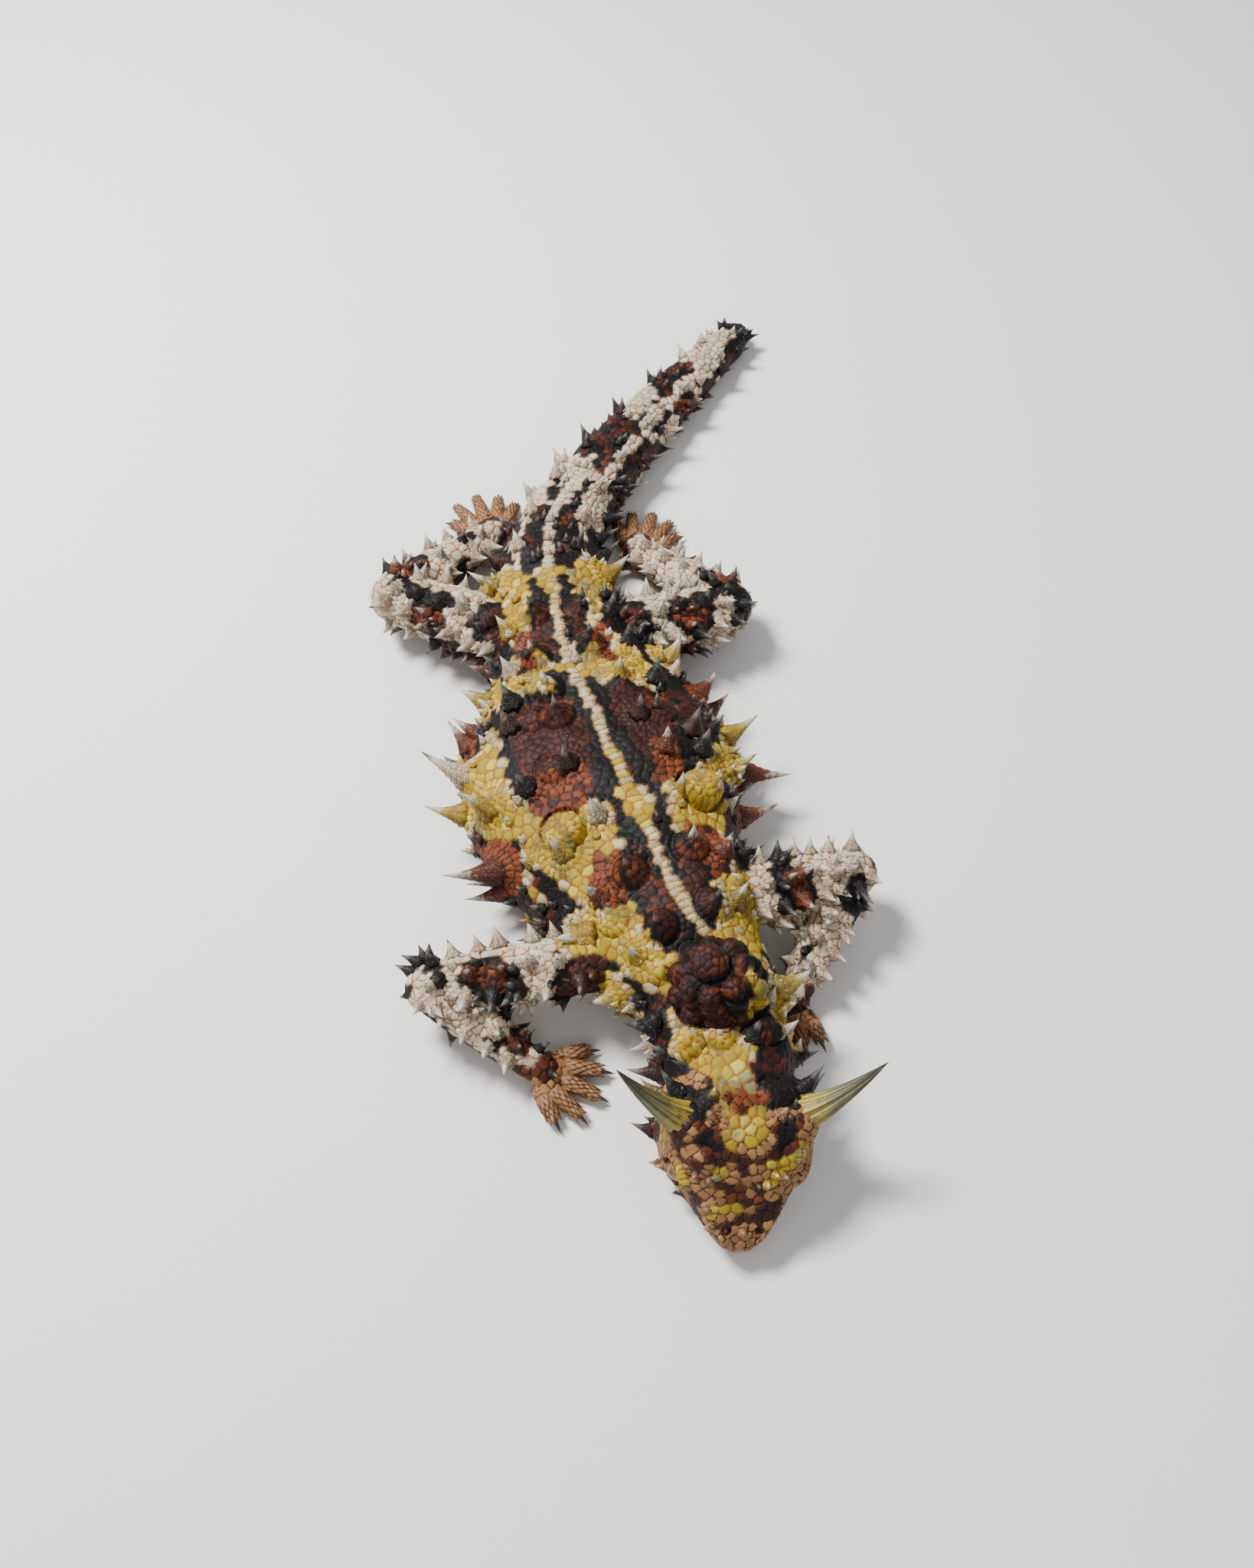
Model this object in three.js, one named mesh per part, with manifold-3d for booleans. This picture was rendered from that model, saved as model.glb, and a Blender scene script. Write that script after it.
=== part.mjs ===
// A thorny devil lizard, life size, lying flat with its head low and its tail stretched out behind.
// Millimetres, +Z up, floor at z = 0, origin on the floor under the middle of the belly, head towards -Y.
// The animal's left is +X.
import * as THREE from "three";
import { mergeVertices } from "three/addons/utils/BufferGeometryUtils.js";
import Module from "manifold-3d";

const wasm = await Module();
wasm.setup();

// Driving dimensions
const GAP = 0.3; // between neighbouring pieces
const ROOM = GAP + 0.05; // kept round a piece when its neighbour is cut clear of it
const FLOOR_ROOM = 0.4; // between a thorn and the floor
const EYE_RADIUS = 1.45;
const LID_RADIUS = 2.35;
const LID_DEPTH = 1.75;
const HORN_LENGTH = 9;
const HORN_SUNK = 2.4;
const HORN_SWEEP = 3.6;
const HORN_RADIUS = 2.7;
const HORN_FLATNESS = 0.82;
const HORN_TIP = 0.12;
const HORN_SIDES = 10;
const KNOB_RADIUS = 5.4;
const KNOB_HEIGHT = 6.2;
const KNOB_BEADS = 9;
const BEAD_RADIUS = 1.15;
const PALM_LENGTH = 3.6;
const PALM_END = { height: 1.25, half: 2.9, rise: 1.15, drop: 1.6 };
const DIGITS = 5;
const DIGIT_SHARES = [0.72, 0.95, 1.05, 0.98, 0.7];
const DIGIT_START = 2.2;
const DIGIT_PITCH = 1.05;
const DIGIT_HEIGHT = 1.3;
const DIGIT_RADIUS = 0.95;
const DIGIT_SIDES = 5;
const CLAW_LENGTH = 2.4;
const CLAW_TIP = { height: 0.5, radius: 0.16 };
const THORN_SIDES = 5;
const TALL_THORN = 3.8; // a thorn longer than this is drawn in above its foot
const SEED = 20417;

const Z_UP = new THREE.Vector3(0, 0, 1);
const radians = THREE.MathUtils.degToRad;

// Neck, trunk and tail, from the back of the head to the tail's tip. Each station holds x, y, height of
// the widest level, half width, rise to the back, drop to the belly and shift of the back's ridge.
const AXIS = [
  [12.4, -43.0, 8.8, 7.0, 5.8, 5.2, 0.0],
  [12.1, -38.5, 8.4, 7.6, 6.2, 5.0, 0.2],
  [11.2, -33.0, 8.0, 8.0, 6.6, 5.2, 0.4],
  [9.0, -27.0, 7.6, 9.0, 7.2, 6.2, 0.7],
  [5.6, -20.5, 6.8, 11.2, 9.0, 6.9, 1.4],
  [2.2, -13.0, 6.0, 13.6, 10.0, 6.4, 2.0],
  [-1.2, -5.0, 5.8, 16.2, 10.4, 6.2, 2.4],
  [-3.7, 2.6, 5.6, 18.5, 10.4, 6.0, 2.0],
  [-3.8, 9.6, 5.6, 17.2, 9.8, 6.0, -0.2],
  [-4.9, 16.4, 5.8, 14.7, 9.0, 6.2, -2.0],
  [-6.9, 23.0, 6.2, 12.0, 8.0, 6.6, -2.2],
  [-9.0, 29.5, 6.4, 10.0, 7.4, 6.8, -1.2],
  [-10.7, 36.0, 6.4, 8.4, 6.8, 6.8, -0.4],
  [-11.4, 43.0, 6.0, 7.2, 6.4, 6.4, 0.0],
  [-10.4, 50.0, 5.4, 6.4, 5.8, 5.8, 0.0],
  [-7.2, 58.0, 4.8, 5.6, 5.1, 5.2, 0.0],
  [-2.8, 66.0, 4.3, 4.9, 4.5, 4.7, 0.0],
  [2.4, 74.5, 3.9, 4.4, 4.0, 4.2, 0.0],
  [8.4, 83.4, 3.4, 3.8, 3.4, 3.7, 0.0],
  [14.2, 91.8, 2.9, 3.2, 2.9, 3.2, 0.0],
  [17.9, 97.2, 2.5, 2.5, 2.4, 2.8, 0.0],
  [19.8, 100.0, 2.2, 1.2, 1.2, 1.6, 0.0],
];
const AXIS_FULLNESS = 2.35;
// Where the axis is divided, as station numbers
const TRUNK_START = 3.0;
const TAIL_START = 12.2;
const TAIL_MIDDLE = 15.0;
const TAIL_END = 17.6;
// Each length of the axis: name, first and last station, sections along it, sides of a section
const AXIS_PIECES = [
  ["neck", 0, TRUNK_START, 8, 22],
  ["trunk", TRUNK_START, TAIL_START, 24, 24],
  ["tail_base", TAIL_START, TAIL_MIDDLE, 7, 14],
  ["tail_middle", TAIL_MIDDLE, TAIL_END, 7, 12],
  ["tail_tip", TAIL_END, AXIS.length - 1, 9, 10],
];

// The head in its own frame: forward distance, then half width, crown height and chin depth
const HEAD = [
  [-0.6, 7.6, 5.8, 6.6],
  [1.6, 8.6, 6.6, 7.0],
  [4.0, 9.2, 7.1, 7.3],
  [7.0, 9.0, 7.1, 7.3],
  [9.6, 8.0, 6.0, 7.0],
  [11.8, 6.7, 4.2, 6.6],
  [13.8, 5.3, 2.2, 6.1],
  [15.6, 4.2, 0.7, 5.7],
  [17.2, 3.2, -0.5, 5.2],
  [18.2, 2.2, -1.4, 4.6],
  [18.7, 0.9, -2.2, 4.0],
];
const HEAD_FULLNESS = 2.5;
const HEAD_ORIGIN = [12.2, -40.2, 8.4];
const HEAD_PITCH = 9; // degrees, snout down
const HEAD_TURN = 4; // degrees, snout towards the animal's left
const HEAD_ROLL = 9; // degrees, crown towards the animal's left
// Features of the head, as forward, side and up in its own frame
const EYE = [9.8, 7.0, 0.9];
const NOSTRIL = [16.9, 1.9, -0.35];
const EAR = [2.6, 9.3, -1.2];
const HORN_ROOT = [5.2, 5.7, 4.0];
const HORN_START = [-0.14, 0.85, 0.56];
const HORN_BEND = [-0.8, 0.1, 0.5];
const MOUTH_LEVEL = -3.4;
const MOUTH_BACK = 6.2;
const MOUTH_HEIGHT = 0.45;
const MOUTH_DEPTH = 0.75;

// Limbs: joints from root to wrist or ankle, the radius at each, names of the three parts, and the
// heading, fan and reach of the hand or foot in degrees and millimetres
const FORE_NAMES = ["upper_arm", "forearm", "hand"];
const HIND_NAMES = ["thigh", "shin", "foot"];
const LIMBS = {
  fore_right: {
    joints: [[-1.5, -23.6, 8.4], [-24.6, -27.0, 7.4], [-12.2, -35.0, 3.0]],
    radii: [3.7, 3.0, 2.0],
    names: FORE_NAMES,
    heading: -24,
    fan: 19,
    reach: 7.2,
  },
  fore_left: {
    joints: [[13.0, -15.6, 8.6], [29.4, -10.8, 7.6], [21.6, -25.0, 3.0]],
    radii: [3.7, 3.0, 2.1],
    names: FORE_NAMES,
    heading: -112,
    fan: 24,
    reach: 6.2,
  },
  hind_right: {
    joints: [[-13.0, 26.6, 6.8], [-34.2, 36.6, 6.6], [-20.6, 52.0, 3.0]],
    radii: [4.8, 3.6, 2.2],
    names: HIND_NAMES,
    heading: 110,
    fan: 19,
    reach: 7.6,
  },
  hind_left: {
    joints: [[-4.0, 27.4, 6.8], [14.8, 34.6, 6.6], [1.4, 48.6, 3.0]],
    radii: [4.8, 3.6, 2.2],
    names: HIND_NAMES,
    heading: 74,
    fan: 18,
    reach: 7.2,
  },
};

// Bosses of the knob on the nape: place on the knob, half width and half height
const KNOB_BOSSES = [
  [-1.3, 0.6, 5.0, 2.5, 2.2],
  [2.9, -1.0, 3.9, 1.9, 2.0],
];

// Rows of thorns on the trunk and tail, each mirrored on the other side. Angles are degrees round the
// body from its left side over the back. lean tips a thorn backwards, as a share of its length.
const AXIS_ROWS = [
  { from: 3.85, to: 10.85, count: 8, angle: 74, length: 3.4, radius: 1.9, lean: 0.15 },
  { from: 3.7, to: 10.7, count: 8, angle: 52, length: 3.6, radius: 2.1, lean: 0.2 },
  { from: 4.6, to: 11.2, count: 7, angle: 31, length: 2.6, radius: 1.3, lean: 0.2 },
  { from: 5.0, to: 11.0, count: 6, angle: -3, length: 4.4, radius: 1.6, lean: 0.25 },
  { from: 5.4, to: 10.2, count: 5, angle: -22, length: 3.2, radius: 1.3, lean: 0.25 },
  { from: 12.85, to: 19.85, count: 8, angle: 60, length: 3.0, radius: 1.5, lean: 0.45 },
  { from: 12.9, to: 20.3, count: 10, angle: 16, length: 4.2, radius: 1.5, lean: 0.45 },
  { from: 13.0, to: 19.8, count: 8, angle: -14, length: 2.8, radius: 1.05, lean: 0.4 },
];
// The large thorns along the flanks: station, angle, length, radius. They differ from side to side.
const FLANK_THORNS = [
  [3.5, 6, 5.0, 1.8],
  [3.95, 20, 7.2, 2.2],
  [5.55, 8, 6.6, 2.0],
  [6.35, 24, 4.2, 1.9],
  [7.1, 6, 7.8, 2.3],
  [7.25, 24, 4.6, 1.9],
  [7.95, 11, 5.6, 2.1],
  [8.75, 11, 4.4, 1.8],
  [9.35, 23, 4.0, 2.2],
  [10.2, 14, 4.4, 1.9],
  [12.1, 21, 4.8, 2.1],
  [3.5, 172, 4.2, 1.7],
  [4.4, 155, 4.0, 2.3],
  [5.85, 184, 6.0, 1.9],
  [6.05, 173, 8.4, 2.4],
  [6.75, 151, 5.6, 2.3],
  [6.95, 176, 5.6, 2.0],
  [7.2, 165, 7.2, 2.3],
  [7.75, 170, 5.2, 2.0],
  [8.45, 165, 4.4, 1.9],
  [9.4, 161, 4.6, 2.3],
  [10.3, 168, 4.2, 1.8],
  [12.2, 159, 5.0, 2.1],
];
const FLANK_LEAN = 0.2;
// Single thorns of the neck: station, angle, length, radius
const NECK_THORNS = [
  [1.35, 72, 2.6, 1.9],
  [1.45, 118, 2.2, 1.9],
  [1.4, 40, 3.0, 1.7],
  [1.3, 150, 3.2, 1.7],
  [1.1, 4, 3.6, 1.5],
  [1.1, 176, 4.6, 1.7],
  [2.25, 22, 5.2, 2.3],
  [2.3, 158, 4.4, 2.1],
  [2.2, -8, 3.0, 1.3],
  [2.2, 188, 3.0, 1.3],
];
const NECK_LEAN = 0.1;
// Thorns of the head, one on each side: forward, side, up, length, radius
const HEAD_THORNS = [
  [2.2, 6.2, 5.0, 4.2, 1.6],
  [1.6, 8.4, 1.6, 3.4, 1.3],
  [4.6, 9.2, -2.6, 3.0, 1.2],
  [8.0, 8.6, -4.2, 2.0, 0.9],
  [3.4, 8.6, -5.4, 2.2, 1.0],
  [5.2, 3.0, 7.4, 1.5, 1.2],
  [11.6, 3.2, 4.6, 1.1, 0.9],
  [14.4, 2.6, 1.8, 1.0, 0.75],
  [11.4, 6.6, -4.6, 1.4, 0.8],
];
const HEAD_LEAN = 0.25;
// Rows of thorns on a limb: its upper part (0) or lower part (1), first and last place along it
const LIMB_ROWS = [
  { part: 0, from: 0.28, to: 0.95, count: 5, angle: 78, length: 2.2, radius: 1.0 },
  { part: 0, from: 0.22, to: 0.98, count: 6, angle: 30, length: 3.0, radius: 1.15 },
  { part: 0, from: 0.3, to: 1.0, count: 6, angle: 145, length: 2.6, radius: 1.1 },
  { part: 0, from: 0.3, to: 0.95, count: 5, angle: -12, length: 2.0, radius: 0.9 },
  { part: 1, from: 0.02, to: 0.85, count: 5, angle: 150, length: 2.3, radius: 0.95 },
  { part: 1, from: 0.0, to: 0.85, count: 5, angle: 95, length: 1.9, radius: 0.9 },
  { part: 1, from: 0.05, to: 0.85, count: 5, angle: 40, length: 2.1, radius: 0.9 },
  { part: 1, from: 0.1, to: 0.8, count: 4, angle: 0, length: 2.0, radius: 0.85 },
];

// Finish of the nodes whose name holds each word: colour and roughness. The last one is for all others.
const FINISHES = [
  ["eye", [0.02, 0.015, 0.01], 0.15],
  ["horn", [0.45, 0.42, 0.28], 0.5],
  ["knob", [0.24, 0.1, 0.06], 0.55],
  ["head", [0.24, 0.1, 0.06], 0.55],
  ["hand", [0.6, 0.42, 0.28], 0.75],
  ["foot", [0.6, 0.42, 0.28], 0.75],
  ["trunk", [0.72, 0.6, 0.2], 0.65],
  ["neck", [0.72, 0.6, 0.2], 0.65],
  ["", [0.8, 0.76, 0.66], 0.7],
];

// Repeatable variation from a seed
function seeded(seed) {
  let state = seed;
  return () => {
    state = (state * 1664525 + 1013904223) % 4294967296;
    return state / 4294967296;
  };
}

// A number between two others
const between = (low, high, share) => low + (high - low) * share;

function toSolid(geometry) {
  const bare = new THREE.BufferGeometry();
  bare.setAttribute("position", geometry.getAttribute("position"));
  bare.setIndex(geometry.index);
  const merged = mergeVertices(bare, 1e-4);
  return new wasm.Manifold(
    new wasm.Mesh({
      numProp: 3,
      vertProperties: new Float32Array(merged.attributes.position.array),
      triVerts: new Uint32Array(merged.index.array),
    }),
  );
}

function toGeometry(solid) {
  const mesh = solid.getMesh();
  const geometry = new THREE.BufferGeometry();
  geometry.setAttribute("position", new THREE.BufferAttribute(mesh.vertProperties, 3));
  geometry.setIndex(new THREE.BufferAttribute(mesh.triVerts, 1));
  geometry.computeVertexNormals();
  return geometry;
}

function volumeOf(solid) {
  const { vertProperties, triVerts } = solid.getMesh();
  const corner = (k) => new THREE.Vector3().fromArray(vertProperties, 3 * triVerts[k]);
  let volume = 0;
  for (let k = 0; k < triVerts.length; k += 3) {
    volume += corner(k).dot(corner(k + 1).cross(corner(k + 2))) / 6;
  }
  return volume;
}

function boxOf(solid) {
  return new THREE.Box3().setFromArray(solid.getMesh().vertProperties);
}

function largest(solid) {
  return solid.decompose().reduce((best, piece) => (volumeOf(piece) > volumeOf(best) ? piece : best));
}

// What lies on the side of a plane that its normal points to
function trim(solid, normal, point) {
  const size = 400;
  const block = new THREE.BoxGeometry(size, size, size);
  block.translate(0, 0, size / 2);
  block.applyQuaternion(new THREE.Quaternion().setFromUnitVectors(Z_UP, normal.clone().normalize()));
  block.translate(point.x, point.y, point.z);
  return solid.intersect(toSolid(block));
}

// A closed solid from corners and triangles, turned to face outwards
function solidFrom(points, faces) {
  const geometry = new THREE.BufferGeometry();
  const numbers = points.flatMap((p) => p.toArray());
  geometry.setAttribute("position", new THREE.Float32BufferAttribute(numbers, 3));
  geometry.setIndex(faces.flat());
  const solid = toSolid(geometry);
  if (volumeOf(solid) > 0) return solid;
  geometry.setIndex(faces.map(([a, b, c]) => [a, c, b]).flat());
  return toSolid(geometry);
}

// Triangles between neighbouring rings that have the same number of points
function bands(rings, sides) {
  const faces = [];
  for (let i = 0; i + 1 < rings; i++) {
    for (let j = 0; j < sides; j++) {
      const a = i * sides + j;
      const b = i * sides + ((j + 1) % sides);
      faces.push([a, b, b + sides], [a, b + sides, a + sides]);
    }
  }
  return faces;
}

// A closed skin over rings of points, with a flat cap on both ends
function skinOver(rings) {
  const sides = rings[0].length;
  const last = (rings.length - 1) * sides;
  const points = rings.flat();
  const faces = bands(rings.length, sides);
  const middle = (ring) => {
    const centre = new THREE.Vector3();
    ring.forEach((p) => centre.addScaledVector(p, 1 / sides));
    return points.push(centre) - 1;
  };
  const first = middle(rings[0]);
  const end = middle(rings.at(-1));
  for (let j = 0; j < sides; j++) {
    const next = (j + 1) % sides;
    faces.push([next, j, first], [last + j, last + next, end]);
  }
  return solidFrom(points, faces);
}

// A ring of points round a centre, between two directions
function ringOf(centre, u, v, wide, tall, sides) {
  return Array.from({ length: sides }, (_, j) => {
    const angle = (2 * Math.PI * j) / sides;
    return centre
      .clone()
      .addScaledVector(u, wide * Math.cos(angle))
      .addScaledVector(v, tall * Math.sin(angle));
  });
}

function ball(centre, radii, detail, facing = Z_UP) {
  const geometry = new THREE.SphereGeometry(1, detail, Math.round(detail * 0.7));
  geometry.scale(...radii);
  geometry.applyQuaternion(new THREE.Quaternion().setFromUnitVectors(Z_UP, facing));
  geometry.translate(centre.x, centre.y, centre.z);
  return toSolid(geometry);
}

// One column of a table of stations, along a smooth curve through them
function along(stations, column, t) {
  const last = stations.length - 1;
  const i = THREE.MathUtils.clamp(Math.floor(t), 0, last - 1);
  const f = t - i;
  const at = (k) => stations[THREE.MathUtils.clamp(k, 0, last)][column];
  const [a, b, c, d] = [at(i - 1), at(i), at(i + 1), at(i + 2)];
  const bow = 2 * a - 5 * b + 4 * c - d;
  const twist = 3 * b - a - 3 * c + d;
  return 0.5 * (2 * b + (c - a) * f + bow * f * f + twist * f * f * f);
}

// A tapering body of rounded sections. frame(t) gives the centre, side and up of a section, and
// size(t) its half width, rise, drop and ridge shift. swell gives the same body a little larger.
class TaperingBody {
  constructor(frame, size, fullness) {
    this.frame = frame;
    this.size = size;
    this.power = 2 / fullness;
  }
  point(t, angle, swell = 0) {
    const { centre, side, up } = this.frame(t);
    const { half, rise, drop, shift } = this.size(t);
    const c = Math.cos(angle);
    const s = Math.sin(angle);
    const across = Math.sign(c) * Math.abs(c) ** this.power;
    const high = Math.sign(s) * Math.abs(s) ** this.power;
    const height = high > 0 ? high * (rise + swell) : high * (drop + swell);
    return centre
      .clone()
      .addScaledVector(side, across * (half + swell) + Math.max(high, 0) * shift)
      .addScaledVector(up, height);
  }
  normal(t, angle) {
    const step = 0.02;
    const round = this.point(t, angle + step).sub(this.point(t, angle - step));
    const forward = this.point(t + step, angle).sub(this.point(t - step, angle));
    const normal = round.cross(forward).normalize();
    const outward = this.point(t, angle).sub(this.frame(t).centre);
    return normal.dot(outward) < 0 ? normal.negate() : normal;
  }
  backward(t, angle) {
    const step = 0.05;
    return this.point(t + step, angle).sub(this.point(t - step, angle)).normalize();
  }
  ring(t, sides, swell) {
    return Array.from({ length: sides }, (_, j) => this.point(t, (2 * Math.PI * (j + 0.5)) / sides, swell));
  }
  solid(stops, sides, swell = 0) {
    return skinOver(stops.map((t) => this.ring(t, sides, swell)));
  }
}

// Evenly spaced stops from one place to another
function stopsOver(from, to, steps) {
  return Array.from({ length: steps + 1 }, (_, i) => between(from, to, i / steps));
}

// Neck, trunk and tail: upright sections square to the axis
const axisBody = new TaperingBody(
  (t) => {
    const centre = new THREE.Vector3(along(AXIS, 0, t), along(AXIS, 1, t), along(AXIS, 2, t));
    const ahead = new THREE.Vector3(along(AXIS, 0, t + 0.1), along(AXIS, 1, t + 0.1), 0);
    const behind = new THREE.Vector3(along(AXIS, 0, t - 0.1), along(AXIS, 1, t - 0.1), 0);
    const tangent = ahead.sub(behind).normalize();
    return { centre, side: tangent.cross(Z_UP), up: Z_UP };
  },
  (t) => ({
    half: along(AXIS, 3, t),
    rise: along(AXIS, 4, t),
    drop: along(AXIS, 5, t),
    shift: along(AXIS, 6, t),
  }),
  AXIS_FULLNESS,
);

// The head's own frame, forward along its local -Y
const headPlace = new THREE.Matrix4()
  .makeRotationFromEuler(
    new THREE.Euler(radians(HEAD_PITCH), radians(HEAD_ROLL), radians(HEAD_TURN), "ZXY"),
  )
  .setPosition(...HEAD_ORIGIN);
const inHead = ([forward, across, up], side = 1) =>
  new THREE.Vector3(side * across, -forward, up).applyMatrix4(headPlace);
const headWay = ([forward, across, up], side = 1) =>
  new THREE.Vector3(side * across, -forward, up).transformDirection(headPlace);
const headForward = headWay([1, 0, 0]);
const headSide = headWay([0, 1, 0]);
const headUp = headWay([0, 0, 1]);
const headBody = new TaperingBody(
  (t) => ({ centre: inHead([along(HEAD, 0, t), 0, 0]), side: headSide, up: headUp }),
  (t) => ({ half: along(HEAD, 1, t), rise: along(HEAD, 2, t), drop: along(HEAD, 3, t), shift: 0 }),
  HEAD_FULLNESS,
);

// A straight limb part with rounded ends and a slightly fuller middle
function limbBody(from, to, startRadius, endRadius) {
  const line = to.clone().sub(from);
  const length = line.length();
  const side = line.clone().cross(Z_UP).normalize();
  const up = side.clone().cross(line).normalize();
  const radius = (t) => {
    const inner = THREE.MathUtils.clamp(t, 0, 1);
    const plain = between(startRadius, endRadius, inner) * (1 + 0.12 * Math.sin(Math.PI * inner));
    const past = t < 0 ? (-t * length) / startRadius : Math.max(0, ((t - 1) * length) / endRadius);
    return plain * Math.sqrt(Math.max(1 - past * past, 0.02));
  };
  const body = new TaperingBody(
    (t) => ({ centre: from.clone().addScaledVector(line, t), side, up }),
    (t) => ({ half: radius(t), rise: radius(t), drop: radius(t), shift: 0 }),
    2,
  );
  const low = (-0.92 * startRadius) / length;
  const high = (0.92 * endRadius) / length;
  body.stops = [low, low * 0.6, 0, 0.25, 0.5, 0.75, 1, 1 + high * 0.6, 1 + high];
  return body;
}

// Hand or foot: a low palm and five clawed digits in a fan
function footSolid(limb, end, ahead, swell = 0) {
  const radius = limb.radii[2];
  const across = ahead.clone().cross(Z_UP);
  const palmEnd = end.clone().addScaledVector(ahead, PALM_LENGTH).setZ(PALM_END.height);
  const palm = new TaperingBody(
    (t) => ({ centre: end.clone().lerp(palmEnd, t), side: across, up: Z_UP }),
    (t) => ({
      half: between(radius, PALM_END.half, t) + swell,
      rise: between(radius, PALM_END.rise, t) + swell,
      drop: between(radius, PALM_END.drop, t) + swell,
      shift: 0,
    }),
    2.2,
  );
  let solid = palm.solid(stopsOver(-0.35, 1.15, 3), 10);
  for (let k = 0; k < DIGITS; k++) {
    const place = k - (DIGITS - 1) / 2;
    const reach = limb.reach * DIGIT_SHARES[k];
    const way = ahead.clone().applyAxisAngle(Z_UP, radians(place * limb.fan));
    const start = end
      .clone()
      .addScaledVector(ahead, DIGIT_START)
      .addScaledVector(across, -place * DIGIT_PITCH);
    const side = way.clone().cross(Z_UP);
    const sections = [
      [0, DIGIT_HEIGHT, 0.95 * DIGIT_RADIUS],
      [0.62 * reach, DIGIT_HEIGHT - 0.05, 0.88 * DIGIT_RADIUS],
      [reach - 0.45 * CLAW_LENGTH, DIGIT_HEIGHT - 0.15, 0.62 * DIGIT_RADIUS],
      [reach + 0.55 * CLAW_LENGTH, CLAW_TIP.height, CLAW_TIP.radius],
    ];
    const rings = sections.map(([distance, height, wide]) => {
      const centre = start.clone().addScaledVector(way, distance).setZ(height);
      return ringOf(centre, side, Z_UP, wide + swell, wide + swell, DIGIT_SIDES);
    });
    solid = solid.add(skinOver(rings));
  }
  return solid;
}

// Flesh of every node, and the same flesh swollen by the space that its neighbours keep from it
const flesh = {};
const swollen = {};

// The share of a station that the gap takes
function stationGap(t) {
  const step = 0.1;
  const here = axisBody.frame(t).centre;
  const next = axisBody.frame(t + step).centre;
  return (step * GAP) / here.distanceTo(next);
}

// Neck, trunk and tail, and the neck's end cut square to the head
for (const [name, from, to, steps, sides] of AXIS_PIECES) {
  const end = name === "tail_tip" ? to : to - stationGap(to);
  const piece = (swell) => axisBody.solid(stopsOver(from, end, steps), sides, swell);
  const headBack = inHead([HEAD[0][0] - GAP, 0, 0]);
  const cut = (solid) => (name === "neck" ? trim(solid, headForward.clone().negate(), headBack) : solid);
  flesh[name] = cut(piece(0));
  swollen[name] = cut(piece(ROOM));
}

// Limbs, parted at the elbow or knee and at the wrist or ankle, and cut clear of the body
const limbParts = {};
for (const [limbName, limb] of Object.entries(LIMBS)) {
  const [root, middle, end] = limb.joints.map((p) => new THREE.Vector3(...p));
  const [rootRadius, middleRadius, endRadius] = limb.radii;
  const upper = limbBody(root, middle, rootRadius, middleRadius);
  const lower = limbBody(middle, end, middleRadius, endRadius);
  const names = limb.names.map((part) => `${limbName}_${part}`);
  limbParts[limbName] = { bodies: [upper, lower], names, outer: Math.sign(middle.x - root.x) };

  const heading = radians(limb.heading);
  const ahead = new THREE.Vector3(Math.cos(heading), Math.sin(heading), 0);
  const toRoot = root.clone().sub(middle).normalize();
  const toEnd = end.clone().sub(middle).normalize();
  const fold = toRoot.sub(toEnd).normalize();
  const wrist = toEnd.clone().negate().sub(ahead).normalize();
  const beyond = (solid, way, point) => trim(solid, way, point.clone().addScaledVector(way, GAP / 2));
  const cuts = [
    (solid) => beyond(solid, fold, middle),
    (solid) => beyond(beyond(solid, fold.clone().negate(), middle), wrist, end),
    (solid) => beyond(solid, wrist.clone().negate(), end),
  ];
  const makes = [
    (swell) => upper.solid(upper.stops, 12, swell),
    (swell) => lower.solid(lower.stops, 10, swell),
    (swell) => footSolid(limb, end, ahead, swell),
  ];
  names.forEach((name, k) => {
    const clear = ["trunk", "neck", "tail_base"].map((other) => swollen[other]);
    const piece = cuts[k](makes[k](0));
    flesh[name] = largest(clear.reduce((left, other) => left.subtract(other), piece));
    swollen[name] = cuts[k](makes[k](ROOM));
  });
}

// Head: skull and jaw, lids, mouth line, nostrils and ear cups
const lookWay = (side) => headWay([0.35, 1, 0.12], side);
const lidBall = (side, swell = 0) =>
  ball(inHead(EYE, side), [LID_RADIUS + swell, LID_RADIUS + swell, LID_DEPTH + swell], 10, lookWay(side));
const headStops = stopsOver(0, HEAD.length - 1, 15);
swollen.head = headBody.solid(headStops, 20, ROOM);
const skull = headBody.solid(headStops, 20);

const mouthLength = 20;
const mouthSlab = new THREE.BoxGeometry(30, mouthLength, MOUTH_HEIGHT);
mouthSlab.translate(0, -(MOUTH_BACK + mouthLength / 2), MOUTH_LEVEL);
mouthSlab.applyMatrix4(headPlace);
const insideLips = headBody.solid(stopsOver(2, HEAD.length - 1, 4), 14, -MOUTH_DEPTH);

let head = skull.add(lidBall(1)).add(lidBall(-1)).subtract(toSolid(mouthSlab).subtract(insideLips));
for (const side of [1, -1]) {
  const eye = inHead(EYE, side);
  const socket = EYE_RADIUS + GAP;
  const opening = eye.clone().addScaledVector(lookWay(side), 1.6);
  head = head
    .subtract(ball(eye, [socket, socket, socket], 10, lookWay(side)))
    .subtract(ball(opening, [0.95, 1.5, 1.2], 8, lookWay(side)))
    .subtract(ball(inHead(NOSTRIL, side), [0.5, 0.6, 0.5], 6))
    .subtract(ball(inHead(EAR, side), [0.9, 0.9, 1.5], 8));
}
flesh.head = largest(head);

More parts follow.
